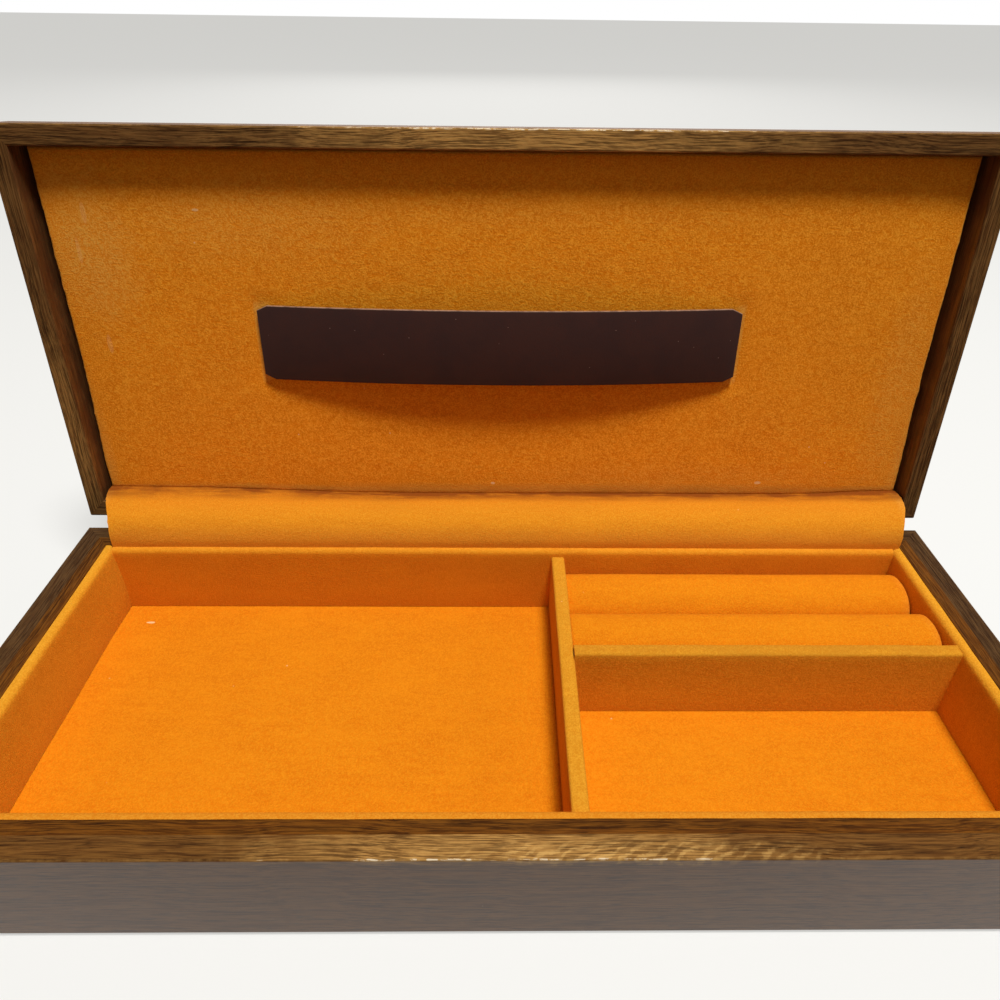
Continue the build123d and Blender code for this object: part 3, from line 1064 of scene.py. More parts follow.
@dataclass
class Lining:
    """Velvet over the inside of the base: floor, four linings, dividers."""

    velvet: bpy.types.Material
    faded_velvet: bpy.types.Material
    floor_velvet: bpy.types.Material
    # Pieces that take the velvet copy toned for the shade they stand in
    faded: tuple[str, ...] = (
        "lining_velvet_left", "lining_velvet_right", "long_divider_velvet", "cross_divider_velvet",
    )
    pile: float = 1.15 * MM
    edge_radius: float = 1.9 * MM
    divider_radius: float = 0.9 * MM
    divider_skew: float = 0.8 * MM
    mesh_step: float = 4.0 * MM
    wave: float = 0.25 * MM
    floor_wave: float = 0.12 * MM
    curl: float = 0.9 * MM
    # Painted shade at the foot of each piece, in its corner with the floor
    grime: float = 0.35
    grime_z: tuple[float, float] = (9 * MM, 13 * MM)
    pale_top: float = 0.14
    pale_divider_top: float = 0.05
    # Painted shade along the tops of these pieces
    dull_tops: tuple[tuple[str, float], ...] = (
        ("cross_divider_velvet", 0.62), ("long_divider_velvet", 0.35),
        ("lining_velvet_front", 0.3),
    )

    def finish(self, piece: Piece, node: str, top: float, seed: float) -> Piece:
        """Softens a velvet piece, dresses it and lets it stand for its node.

        Args:
            piece: The modelled piece.
            node: The CAD node that it replaces.
            top: Height of its worn, paler upper edge.
            seed: Makes its unevenness its own.

        Returns:
            The same piece.
        """

        def soften(point: Vector) -> Vector:
            """Uneven faces and a slightly wavy upper edge.

            Args:
                point: Place of a point of the piece.

            Returns:
                Its new place.
            """
            rise = ease(point.z, top - 4 * MM, top)
            sway = self.wave * ripple(point, 26 * MM, seed)
            point.x += 0.5 * sway
            point.y += 0.5 * sway * ripple(point, 40 * MM, seed + 3)
            point.z += rise * 0.6 * self.wave * ripple(point, 9 * MM, seed + 7)
            if node == "long_divider_velvet":
                point.x += self.divider_skew * ease(point.y, -60 * MM, 56 * MM)
            if node == "lining_velvet_left":
                share = min(1.0, max(0.0, point.z / top))
                point.x += self.curl * ease(point.y, 36 * MM, 55 * MM) * math.sin(math.pi * share)
            return point

        reshape(piece, soften)
        pale = self.pale_divider_top if "divider" in node else self.pale_top
        mark(piece, "rub", lambda point: pale * ease(point.z, top - 1.6 * MM, top))
        # Painted shade: at the foot of the piece, and along its top where one is listed
        top_shade = dict(self.dull_tops).get(node, 0.0)
        mark(piece, "soil", lambda point: max(
            self.grime * (1 - ease(point.z, *self.grime_z)),
            top_shade * ease(point.z, top - 1.1 * MM, top - 0.2 * MM),
        ))
        smooth(piece, 60)
        dress(piece, self.faded_velvet if node in self.faded else self.velvet)
        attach(piece, "base")
        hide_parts(node)
        LOG.info("made %s", piece.name)
        return piece

    def wall(self, side: Side, seed: float) -> Piece:
        """Lining of one side: velvet down the inside and over the top of its card.

        Args:
            side: The side of the box.
            seed: Makes its unevenness its own.

        Returns:
            The velvet piece.
        """
        node = f"lining_velvet_{side.label}"
        low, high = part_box(node)
        piece = block(f"velvet_lining_{side.label}", low, high)
        inward = Vector((*side.value, 0))
        drop_faces(piece, lambda face: max(face.normal.dot(inward), face.normal.z) <= 0.9)
        inner = (high if sum(side.value) > 0 else low)[1 - side.run.value]
        round_off(
            piece,
            lambda edge: on_plane(Axis.Z, high.z)(edge)
            and on_plane(Axis(1 - side.run.value), inner)(edge),
            self.edge_radius,
        )
        slice_up(piece, side.run, self.mesh_step)
        slice_up(piece, Axis.Z, self.mesh_step)
        modify(piece, "SOLIDIFY", thickness=self.pile, offset=-1)
        self.finish(piece, node, high.z, seed)
        return piece

    def floor(self) -> Piece:
        """Velvet laid on the card floor.

        Returns:
            The velvet piece.
        """
        low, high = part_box("floor_velvet")
        piece = block("velvet_floor", low, high)
        slice_up(piece, Axis.X, self.mesh_step)
        slice_up(piece, Axis.Y, self.mesh_step)

        def lie(point: Vector) -> Vector:
            """Lies a little unevenly on the card.

            Args:
                point: Place of a point of the piece.

            Returns:
                Its new place.
            """
            if point.z > low.z + 0.5 * MM:
                point.z -= self.floor_wave * (1 + ripple(point, 34 * MM, 5.0))
            return point

        reshape(piece, lie)
        smooth(piece)
        dress(piece, self.floor_velvet)
        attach(piece, "base")
        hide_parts("floor_velvet")
        LOG.info("made %s", piece.name)
        return piece

    def divider(self, name: str, run: Axis, seed: float) -> Piece:
        """Velvet folded over the core of a divider.

        Args:
            name: The divider's name in its CAD nodes.
            run: Direction that the divider runs in.
            seed: Makes its unevenness its own.

        Returns:
            The velvet piece.
        """
        node = f"{name}_velvet"
        low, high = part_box(node)
        piece = block(f"velvet_{name}", low, high)
        round_off(
            piece,
            lambda edge: on_plane(Axis.Z, high.z)(edge)
            and abs(edge.verts[0].co[run.value] - edge.verts[1].co[run.value]) > 1e-4,
            self.divider_radius,
        )
        along = Vector([float(k == run.value) for k in range(3)])
        drop_faces(piece, lambda face: face.normal.z < -0.9 or abs(face.normal.dot(along)) > 0.9)
        slice_up(piece, run, self.mesh_step)
        slice_up(piece, Axis.Z, self.mesh_step)
        modify(piece, "SOLIDIFY", thickness=self.pile, offset=-1)
        self.finish(piece, node, high.z, seed)
        return piece

    def build(self) -> None:
        """Makes every velvet piece of the base's inside but the rolls."""
        self.floor()
        for seed, side in enumerate(Side):
            self.wall(side, seed + 1.3)
        self.divider("long_divider", Axis.Y, 8.1)
        self.divider("cross_divider", Axis.X, 9.4)


@dataclass
class RingRolls:
    """Two velvet-covered foam rolls that hold rings between them."""

    velvet: bpy.types.Material
    facets: int = 64
    end_radius: float = 1.3 * MM
    mesh_step: float = 4.0 * MM
    sunk: float = 0.5 * MM
    cap_ring: float = 4.0 * MM
    unevenness: float = 0.012
    squareness: float = 0.035
    most_growth: float = 1.03

    def roll(self, place: str, seed: float) -> Piece:
        """One roll, flattened where it sits on the floor.

        Args:
            place: Which roll, rear or front.
            seed: Makes its unevenness its own.

        Returns:
            The roll.
        """
        node = f"ring_roll_{place}_velvet"
        low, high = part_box(node)
        foot = Vector((low.x, low.y, low.z - self.sunk))
        size, middle = high - foot, (high + foot) / 2
        bpy.ops.object.select_all(action="DESELECT")
        bpy.ops.mesh.primitive_cylinder_add(
            vertices=self.facets, radius=0.5, depth=1, location=middle,
            rotation=(0, math.pi / 2, 0),
        )
        piece = bpy.context.object
        piece.name = piece.data.name = f"velvet_ring_roll_{place}"
        bpy.ops.object.transform_apply(location=False, rotation=True, scale=False)
        piece.scale = size  # after the turn, so that it follows the box's own axes
        bpy.ops.object.transform_apply(location=True, rotation=False, scale=True)
        with editing(piece) as shape:
            pick(shape.faces, lambda face: abs(face.normal.x) > 0.9)
            bpy.ops.mesh.inset(thickness=self.cap_ring)
            bpy.ops.mesh.inset(thickness=self.cap_ring)

        def on_outline(edge: Any) -> bool:
            """Whether an edge lies on the outline of an end and not on an inset ring.

            Args:
                edge: The edge.

            Returns:
                True on the outline.
            """
            spread = [
                ((v.co.y - middle.y) / size.y) ** 2 + ((v.co.z - middle.z) / size.z) ** 2
                for v in edge.verts
            ]
            return min(spread) > 0.24

        for end in (low.x, high.x):
            round_off(
                piece,
                lambda edge, end=end: on_plane(Axis.X, end)(edge) and on_outline(edge),
                self.end_radius, 3,
            )
        slice_up(piece, Axis.X, self.mesh_step)

        def settle(point: Vector) -> Vector:
            """Squarer shoulders, soft unevenness and a flat underside.

            Args:
                point: Place of a point of the piece.

            Returns:
                Its new place.
            """
            out = Vector((0, point.y - middle.y, point.z - middle.z))
            swell = 1 + self.unevenness * ripple(point, 30 * MM, seed)
            squarer = 1 + self.squareness * math.sin(2 * math.atan2(out.z, out.y)) ** 2
            scale = swell * min(squarer, self.most_growth)
            point.y = middle.y + min(max(out.y * scale, -size.y / 2), size.y / 2)
            point.z = max(low.z, min(middle.z + out.z * scale, high.z))
            return point

        reshape(piece, settle)
        mark(piece, "rub", lambda point: 0.25 * ease(point.x, high.x - 3 * MM, high.x))
        smooth(piece, 50)
        dress(piece, self.velvet)
        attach(piece, "base")
        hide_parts(node, f"ring_roll_{place}_foam")
        LOG.info("made %s", piece.name)
        return piece

    def build(self) -> None:
        """Makes both rolls."""
        self.roll("rear", 2.2)
        self.roll("front", 6.6)


@dataclass
class HingeFlap:
    """The velvet flap that hides the hinges, from behind the rear lining up to the lid pad.

    Its section swells forward over the hinges, dips on the lid's rear rail and ends under
    the lower edge of the pad. Section points are given as Y and Z on the open box. The
    section, both reaches, sway and the wrinkles are in millimetres.
    """

    velvet: bpy.types.Material
    section: tuple[tuple[float, float], ...] = (
        (57.6, 35.4), (57.7, 38.8), (59.2, 43.0), (62.2, 46.4), (66.2, 48.2), (70.4, 48.4),
        (74.2, 47.5), (77.6, 46.5), (81.0, 45.9),
    )
    left_reach: tuple[float, ...] = (150.6, 150.7, 150.8, 151.6, 153.1, 154.9, 156.2, 156.8, 157.0)
    right_reach: tuple[float, ...] = (152.8, 152.9, 153.2, 153.9, 155.1, 156.4, 157.2, 157.5, 157.5)
    flat_width: float = 309.6 * MM
    thickness: float = 1.1 * MM
    columns: int = 200
    rows: int = 28
    blend_start: tuple[float, float] = (56.1 * MM, 35.7 * MM)
    blend_end: tuple[float, float] = (74.24 * MM, 49.56 * MM)
    sway: float = 0.30
    wrinkle: float = 0.07
    end_wrinkle: float = 0.34
    crease_wrinkle: float = 0.6
    ragged: float = 0.45 * MM
    fuzzy_end_x: tuple[float, float] = (152.5 * MM, 155.5 * MM)
    # Span of painted light on the foot, which turns away from the light
    dusty_foot_z: tuple[float, float] = (39 * MM, 45.5 * MM)
    # Spans of painted shade: the valley and the tuck under the pad, and the upper part
    valley_y: tuple[float, float] = (69 * MM, 76 * MM)
    tuck_y: tuple[float, float] = (75.5 * MM, 79 * MM)
    haze_y: tuple[float, float] = (60.5 * MM, 67 * MM)

    def along(self, share: float) -> Vector:
        """A point of the section, as Y and Z in metres.

        Args:
            share: How far along, from 0 at the foot to 1 at the head.

        Returns:
            The point, on a smooth line through the section's points.
        """
        points = [Vector(point) * MM for point in self.section]
        points = [2 * points[0] - points[1], *points, 2 * points[-1] - points[-2]]
        place = min(max(share, 0.0), 0.99999) * (len(self.section) - 1)
        k, t = int(place), place - int(place)
        a, b, c, d = points[k:k + 4]
        return 0.5 * (
            2 * b + (c - a) * t + (2 * a - 5 * b + 4 * c - d) * t ** 2
            + (3 * b - a - 3 * c + d) * t ** 3
        )

    def reach(self, share: float, side: float) -> float:
        """How far the flap reaches to one side at a share of its section, in metres.

        Args:
            share: How far along the section, from 0 to 1.
            side: Negative for the left side, else the right one.

        Returns:
            The distance from the middle of the box.
        """
        widths = self.left_reach if side < 0 else self.right_reach
        place = min(max(share, 0.0), 0.99999) * (len(widths) - 1)
        k = int(place)
        return (widths[k] + (widths[k + 1] - widths[k]) * (place - k)) * MM

    def rub(self, point: Vector) -> float:
        """Paler fuzz at both ends, and painted light along the foot.

        Args:
            point: Place of a point of the piece.

        Returns:
            How rubbed it is.
        """
        ends = ease(abs(point.x), *self.fuzzy_end_x) * ease(point.z, 38 * MM, 42 * MM)
        return 0.7 * ends + 0.3 * (1 - ease(point.z, *self.dusty_foot_z))

    def soil(self, point: Vector) -> float:
        """Painted shade in the valley and the tuck under the pad, and fainter painted shade over
        the upper part.

        Args:
            point: Place of a point of the piece.

        Returns:
            How much painted shade it gets.
        """
        valley = ease(point.y, *self.valley_y) * (1.0 + 0.5 * ripple(point, 16 * MM, 2.0))
        valley += 0.7 * ease(point.y, *self.tuck_y)
        upper_shade = ease(point.y, *self.haze_y) * (0.24 + 0.12 * ripple(point, 24 * MM, 5.0))
        return max(0.0, upper_shade) + valley

    def build(self) -> Piece:
        """Lays a flat grid along the section and gives it its thickness and folds.

        Returns:
            The flap.
        """
        steps = [self.along(k / 200) for k in range(201)]
        length = sum((after - before).length for before, after in zip(steps, steps[1:]))
        bpy.ops.object.select_all(action="DESELECT")
        bpy.ops.mesh.primitive_grid_add(
            x_subdivisions=self.columns, y_subdivisions=self.rows, size=1, calc_uvs=True
        )
        piece = take_new("velvet_hinge_flap", (self.flat_width, length, 1))
        for row in piece.data.uv_layers.active.data:
            row.uv = (row.uv[0] * self.flat_width, row.uv[1] * length)

        def curve(point: Vector) -> Vector:
            """Rolls the flat sheet along its section and wrinkles it.

            Args:
                point: Place of a point of the piece.

            Returns:
                Its new place.
            """
            share = point.y / length + 0.5
            side = 2 * point.x / self.flat_width
            spot = self.along(share)
            step = self.along(share + 0.01) - self.along(share - 0.01)
            out = Vector((-step.y, step.x)).normalized()
            x = side * self.reach(share, side)
            near_end = ease(abs(side), 0.66, 0.98)
            belly = max(0.0, math.sin(math.pi * share)) ** 0.7
            lift = self.sway * ripple(Vector((x, share * 0.02, 0)), 38 * MM, 1.1)
            fold = ripple(Vector((x, share * 0.06, 0)), 10 * MM, 4.0)
            crease = ripple(Vector((x * 0.35, share * 0.05, 0)), 6 * MM, 7.0)
            lift += (self.wrinkle + self.end_wrinkle * near_end) * fold
            lift += self.crease_wrinkle * ease(share, 0.5, 0.8) * crease
            spot += out * lift * belly * MM
            spot.y += crease_rise(x) * ease(share, 0.55, 0.95)
            tooth = ripple(Vector((0, spot.x, spot.y)), 1.6 * MM, 3.0 + side)
            x += math.copysign(self.ragged * ease(abs(side), 0.985, 1.0) * tooth, side)
            return Vector((x, spot.x, spot.y))

        reshape(piece, curve)
        with editing(piece) as shape:
            bpy.ops.mesh.select_all(action="SELECT")
            bpy.ops.mesh.normals_make_consistent(inside=False)
            if sum(face.normal.z for face in shape.faces) < 0:
                bpy.ops.mesh.flip_normals()
        modify(piece, "SOLIDIFY", thickness=self.thickness, offset=-1)
        mark(piece, "rub", self.rub)
        mark(piece, "soil", self.soil)
        smooth(piece, 60)
        dress(piece, self.velvet)
        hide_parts("hinge_flap")
        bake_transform(piece)
        LOG.info("made %s, %.1f mm from edge to edge", piece.name, length / MM)
        return piece


@dataclass
class Lid:
    """The lid: wooden rails and panel with their CAD shapes, velvet pad and leather strap."""

    effects: Effects
    velvet: bpy.types.Material
    leather: bpy.types.Material
    pin: Vector
    open_angle: float = math.radians(96)
    half_length: float = 165.0 * MM
    rail: float = 6.5 * MM
    rim_z: float = 36.2 * MM
    height: float = 16.0 * MM
    pad_half_x: float = 156.0 * MM
    pad_y: tuple[float, float] = (-63.1 * MM, 59.8 * MM)
    pad_face: float = 42.2 * MM
    panel_z: float = 49.2 * MM
    pad_pile: float = 0.95 * MM
    pad_step: tuple[float, float] = (4.0 * MM, 1.8 * MM)
    pad_sag: float = 3.1 * MM
    pad_flare: float = 1.25 * MM
    strap_x: tuple[float, float] = (-89.0 * MM, 84.2 * MM)
    strap_y: tuple[float, float] = (-12.7 * MM, 14.3 * MM)
    strap_thickness: float = 1.6 * MM
    strap_stand_off: float = 7.4 * MM
    strap_corner: tuple[float, float] = (3.9 * MM, 1.8 * MM)
    slit_gap: float = 0.25 * MM
    slit_inset: float = 2.6 * MM
    tail_inset: float = 2.7 * MM
    fray: tuple[float, float] = (1.0 * MM, 1.9 * MM)
    pad_radius: float = 1.1 * MM
    pad_crown: float = 0.35 * MM
    pad_wave: float = 0.12 * MM
    pad_ragged: float = 0.4 * MM
    dimple: float = 0.55 * MM
    dimple_reach: tuple[float, float] = (0.5 * MM, 7 * MM)
    strap_radius: float = 0.35 * MM
    strap_wave: float = 0.12 * MM
    tail_gap: float = 0.1 * MM
    tail_radius: float = 0.3 * MM
    coat: float = 0.8
    front_coat: float = 0.2
    rail_tones: tuple[Colour, ...] = (srgb(52, 30, 13), srgb(88, 56, 27), srgb(146, 104, 56))
    panel_tones: tuple[Colour, ...] = (srgb(56, 32, 15), srgb(92, 58, 28), srgb(140, 98, 52))
    hand_wear: Patch = Patch((0.008, -0.0675, 0.0362), (0.115, 0.014, 0.0035), 1.0)
    side_wear: Patch = Patch((-0.1620, 0.0340, 0.0362), (0.007, 0.050, 0.004), 0.55)
    front_curl: Patch = Patch((0.010, -0.0680, 0.0362), (0.100, 0.012, 0.0035), 0.22)

    def open(self, piece: Piece) -> None:
        """Swings a piece that was modelled on the closed lid up to where the lid stands.

        Args:
            piece: The piece to swing.
        """
        swing = Matrix.Translation(self.pin) @ Matrix.Rotation(-self.open_angle, 4, "X")
        piece.data.transform(swing @ Matrix.Translation(-self.pin))
        piece.data.update()

    def wood(self, nodes: dict[str, Piece]) -> None:
        """Dresses the rails and the top panel.

        Args:
            nodes: The CAD nodes by name.
        """
        limits = {
            "low_z": self.rim_z, "high_z": self.rim_z + self.height, "rim_z": self.rim_z,
            "closed_by": (self.open_angle, self.pin),
        }
        for side in Side:
            finish = WoodFinish(
                f"walnut_rail_{side.label}", *self.rail_tones, grain_along=side.run,
                figure=self.front_curl if side is Side.FRONT else None,
                hand_wear={Side.FRONT: self.hand_wear, Side.LEFT: self.side_wear}.get(side),
                inner_x=self.half_length - self.rail if side.run is Axis.Y else 0.0,
                coat=self.front_coat if side is Side.FRONT else self.coat, **limits,
            )
            dress(nodes[f"lid_rail_{side.label}"], finish.build(self.effects))
        panel = WoodFinish("walnut_panel", *self.panel_tones, **limits)
        dress(nodes["lid_top_panel"], panel.build(self.effects))
        LOG.info("dressed the lid's rails and panel")

    @property
    def strap_middle(self) -> tuple[float, float]:
        """Y and Z of the middle of the strap's end, lid closed."""
        return sum(self.strap_y) / 2, self.pad_face - self.strap_thickness / 2

    def tails(self) -> list[tuple[float, float]]:
        """X limits of the strap's two tails."""
        left, right = self.strap_x
        return [(left, left + self.strap_thickness), (right - self.strap_thickness, right)]

    def pad(self) -> Piece:
        """Velvet tray of the pad, with a slit for each tail of the strap.

        Returns:
            The pad.
        """
        low = Vector((-self.pad_half_x, self.pad_y[0], self.pad_face))
        high = Vector((self.pad_half_x, self.pad_y[1], self.panel_z))
        piece = block("velvet_lid_pad", low, high)
        drop_faces(piece, facing((0, 0, 1)))
        round_off(piece, on_plane(Axis.Z, low.z), self.pad_radius)
        slice_up(piece, Axis.X, self.pad_step[0])
        slice_up(piece, Axis.Y, self.pad_step[1])
        with editing(piece):
            for place, turn in zip(self.strap_x, (-1, 1)):
                for away in self.fray:
                    bpy.ops.mesh.select_all(action="SELECT")
                    bpy.ops.mesh.bisect(plane_co=(place + turn * away, 0, 0), plane_no=(1, 0, 0))
        modify(piece, "SOLIDIFY", thickness=self.pad_pile, offset=-1)
        for start, end in self.tails():
            cutter = block(
                "slit_cutter",
                Vector((start - self.slit_gap, self.strap_y[0] + self.slit_inset, low.z - MM)),
                Vector((end + self.slit_gap, self.strap_y[1] - self.slit_inset, high.z)),
            )
            modify(piece, "BOOLEAN", object=cutter, operation="DIFFERENCE", solver="EXACT")
            bpy.data.objects.remove(cutter)
        middle_y = self.strap_middle[0]
        half_strap = (self.strap_y[1] - self.strap_y[0]) / 2

        def soften(point: Vector) -> Vector:
            """Crowned foam, ragged sides and dimples at the slits.

            Args:
                point: Place of a point of the piece.

            Returns:
                Its new place.
            """
            side = ease(abs(point.x), self.pad_half_x - 2.5 * MM, self.pad_half_x)
            seed = 2.0 if point.x > 0 else 9.0
            cut = ripple(Vector((0, point.y, 0)), 9 * MM, seed)
            cut += 0.8 * ripple(Vector((0, point.y, 0)), 3.4 * MM, seed + 1)
            wider = self.pad_flare * ease(point.y, 0, high.y)
            point.x += math.copysign(side * (self.pad_ragged * cut + wider), point.x)
            face = 1 - ease(point.z, low.z, low.z + 3 * MM)
            inset = min(self.pad_half_x - abs(point.x), point.y - low.y, high.y - point.y)
            crown = self.pad_crown * ease(inset, 0, 14 * MM) - 0.2 * MM
            point.z -= face * (crown + self.pad_wave * ripple(point, 40 * MM, 3.3))
            low_end = ease(point.y, high.y - 40 * MM, high.y)
            point.y += low_end * (self.pad_sag - crease_rise(point.x))
            for start, end in self.tails():
                away = math.hypot(
                    point.x - (start + end) / 2, max(0.0, abs(point.y - middle_y) - half_strap)
                )
                point.z += face * self.dimple * (1 - ease(away, *self.dimple_reach))
            return point

        reshape(piece, soften)

        def rub(point: Vector) -> float:
            """Frayed edges of the pad.

            Args:
                point: Place of a point of the piece.

            Returns:
                How frayed it is.
            """
            inset = min(self.pad_half_x - abs(point.x), point.y - low.y, high.y - point.y)
            slit = min(abs(point.x - end) for pair in self.tails() for end in pair)
            beside = abs(point.y - middle_y) < half_strap + 1 * MM
            frayed = 1.1 * (1 - ease(slit, self.fray[0], self.fray[1])) if beside else 0.0
            return max(0.9 * (1 - ease(inset, 0.1 * MM, 1.2 * MM)), frayed)

        def soil(point: Vector) -> float:
            """Painted shade in the crease along the lower edge, and painted shadow of the top rail.

            Args:
                point: Place of a point of the piece.

            Returns:
                How much painted shade it gets.
            """
            low_edge = 0.8 * ease(point.y, high.y - 2.5 * MM, high.y + 1.2 * MM)
            return low_edge + 0.35 * (1 - ease(point.y, low.y, low.y + 8 * MM))

        mark(piece, "rub", rub)
        mark(piece, "soil", soil)
        self.open(piece)
        smooth(piece, 60)
        dress(piece, self.velvet)
        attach(piece, "lid")
        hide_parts("lid_pad_velvet", "lid_pad_foam")
        LOG.info("made %s", piece.name)
        return piece

    def strap(self) -> Piece:
        """Leather strap that bows out from the pad, with clipped corners and two tails.

        Returns:
            The strap.
        """
        left, right = self.strap_x
        seat = self.pad_face - self.strap_thickness
        low = Vector((left, self.strap_y[0], seat))
        high = Vector((right, self.strap_y[1], self.pad_face))
        bpy.ops.object.select_all(action="DESELECT")
        bpy.ops.mesh.primitive_plane_add(size=1, location=((left + right) / 2, *self.strap_middle))
        piece = take_new("leather_strap", (right - left, high.y - low.y, 1))
        slice_up(piece, Axis.X, 3 * MM)
        for end, toward in ((left, -1), (right, 1)):
            for edge, turn in ((low.y, -1), (high.y, 1)):
                place = (end - toward * self.strap_corner[0], edge, 0)
                across = Vector((toward * self.strap_corner[1], turn * self.strap_corner[0], 0))
                across.normalize()
                with editing(piece):
                    bpy.ops.mesh.select_all(action="SELECT")
                    bpy.ops.mesh.bisect(plane_co=place, plane_no=across, clear_outer=True)
        modify(piece, "SOLIDIFY", thickness=self.strap_thickness, offset=0)
        round_off(
            piece,
            lambda edge: len(edge.link_faces) == 2 and edge.calc_face_angle(0) > 1.0
            and abs(edge.verts[0].co.z - edge.verts[1].co.z) < 1e-5,
            self.strap_radius, 3,
        )
        chord = right - left
        bow = self.strap_stand_off - self.strap_thickness
        radius = (chord ** 2 / 4 + bow ** 2) / (2 * bow)

        def bend(point: Vector) -> Vector:
            """Bows the strap along an arc, a little uneven as old leather is.

            Args:
                point: Place of a point of the piece.

            Returns:
                Its new place.
            """
            x = point.x - (left + right) / 2
            point.z -= math.sqrt(radius ** 2 - x ** 2) - (radius - bow)
            point.z += self.strap_wave * ripple(point, 24 * MM, 5.1)
            return point

        def rub(point: Vector) -> float:
            """Paler cut edge, most of all at the left end and along the top, where it is also a
            painted highlight.

            Args:
                point: Place of a point of the piece.

            Returns:
                How pale it is.
            """
            off_middle = abs(point.z - self.strap_middle[1])
            edge = 1 - ease(off_middle, 0.5 * MM, self.strap_thickness / 2 - 0.02 * MM)
            # The top edge is made paler as a painted highlight, the left end as a paler cut edge
            shown = point.y < self.strap_y[0] + 2 * MM or point.x < left + 1 * MM
            return edge * (1.0 if shown else 0.3)

        mark(piece, "rub", rub)
        reshape(piece, bend)
        for number, (start, end) in enumerate(self.tails()):
            tail = block(
                f"leather_strap_tail_{('left', 'right')[number]}",
                Vector((
                    start + self.tail_gap, self.strap_y[0] + self.tail_inset, seat + 0.3 * MM
                )),
                Vector((end - self.tail_gap, self.strap_y[1] - self.tail_inset, self.panel_z)),
            )
            round_off(
                tail, lambda edge: abs(edge.verts[0].co.z - edge.verts[1].co.z) > 1e-3,
                self.tail_radius, 2,
            )
            self.open(tail)
            smooth(tail)
            dress(tail, self.leather)
            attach(tail, "lid")
        self.open(piece)
        smooth(piece, 50)
        dress(piece, self.leather)
        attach(piece, "lid")
        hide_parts("lid_strap")
        LOG.info("made %s and its tails", piece.name)
        return piece

    def build(self, nodes: dict[str, Piece]) -> None:
        """Dresses the wood and makes the pad and the strap.

        Args:
            nodes: The CAD nodes by name.
        """
        self.wood(nodes)
        self.pad()
        self.strap()


@dataclass
class Studio:
    """Pale table, soft daylight from above and the camera of the picture."""

    focal: float = 768.0
    centre: tuple[float, float] = (507.12, 504.75)
    frame: float = 1000.0
    sensor: float = 36.0
    eye: tuple[float, float, float] = (-0.00386, -0.17790, 0.21672)
    tilt: tuple[float, float, float] = (-0.599182, -0.0113508, -0.0098783)
    lit_point: tuple[float, float, float] = (0, 0, 0.04)
    table_size: float = 12.0
    table: Colour = srgb(242, 241, 237)
    bounce: Colour = srgb(122, 121, 118)
    glow: float = 0.66
    sky_light: float = 0.12
    lamps: tuple[tuple[str, tuple[float, float, float], float, float], ...] = (
        ("window_light", (0.19, -0.245, 1.57), 0.30, 25.8),
        ("side_light", (1.05, 0.12, 0.70), 0.5, 1.3),
        ("back_light", (0.0, 1.9, 0.95), 1.2, 9.0),
    )

    def camera(self) -> None:
        """Puts the camera where the picture was taken from."""
        lens = bpy.data.cameras.new("camera")
        camera = bpy.data.objects.new("camera", lens)
        bpy.context.scene.collection.objects.link(camera)
        turn = Matrix.Rotation(self.tilt[2], 4, "Z") @ Matrix.Rotation(self.tilt[1], 4, "Y")
        turn = turn @ Matrix.Rotation(self.tilt[0] + math.pi / 2, 4, "X")
        camera.matrix_world = Matrix.Translation(self.eye) @ turn
        lens.sensor_width = self.sensor
        lens.lens = self.focal * self.sensor / self.frame
        lens.shift_x = (self.frame / 2 - self.centre[0]) / self.frame
        lens.shift_y = (self.centre[1] - self.frame / 2) / self.frame
        lens.clip_start = 0.001
        bpy.context.scene.camera = camera

    @staticmethod
    def shown(graph: Graph) -> Socket:
        """1 where the camera, a reflection or a clear piece shows the surroundings.

        Args:
            graph: The graph of the material or the world.

        Returns:
            The mask.
        """
        path = graph.add("LightPath").outputs
        seen = graph.calc("MAXIMUM", path["Is Camera Ray"], path["Is Glossy Ray"])
        return graph.calc("MAXIMUM", seen, path["Is Transmission Ray"])

    def floor(self) -> None:
        """Lays a plain pale table top under the box."""
        bpy.ops.object.select_all(action="DESELECT")
        bpy.ops.mesh.primitive_plane_add(size=self.table_size, location=(0, 0, 0))
        top = bpy.context.object
        top.name = "table_top"
        graph = new_material("pale_table")
        lit = graph.add("BsdfDiffuse", {"Color": self.table})
        glow = graph.add("Emission", {"Color": self.table, "Strength": 1.0})
        pale = graph.add("MixShader", {0: self.glow, 1: lit.outputs[0], 2: glow.outputs[0]})
        unseen = graph.add("BsdfDiffuse", {"Color": self.bounce})
        shader = graph.add(
            "MixShader", {0: self.shown(graph), 1: unseen.outputs[0], 2: pale.outputs[0]}
        )
        dress(top, close_material(graph, shader))

    def lamp(self, name: str, place: tuple, size: float, power: float) -> None:
        """Adds one soft square lamp that looks at the box.

        Args:
            name: Name of the lamp.
            place: Where it hangs, in metres.
            size: Length of its side.
            power: Watts.
        """
        light = bpy.data.lights.new(name, "AREA")
        light.energy, light.size = power, size
        lamp = bpy.data.objects.new(name, light)
        bpy.context.scene.collection.objects.link(lamp)
        lamp.location = place
        towards = Vector(self.lit_point) - Vector(place)
        lamp.rotation_euler = towards.to_track_quat("-Z", "Y").to_euler()

    def world(self) -> None:
        """Even pale surroundings, white where the camera sees them."""
        world = bpy.data.worlds.new("surroundings")
        bpy.context.scene.world = world
        world.use_nodes = True
        graph = Graph(world.node_tree)
        seen = graph.times(self.shown(graph), 1 - self.sky_light)
        strength = graph.plus(seen, self.sky_light)
        sky = graph.add("Background", {"Color": (1, 1, 1, 1), "Strength": strength})
        graph.add("OutputWorld", {"Surface": sky.outputs[0]})

    def build(self) -> None:
        """Sets up camera, table, lamps and surroundings."""
        self.camera()
        self.floor()
        for name, place, size, power in self.lamps:
            self.lamp(name, place, size, power)
        self.world()
        bpy.context.scene.view_settings.view_transform = "Standard"


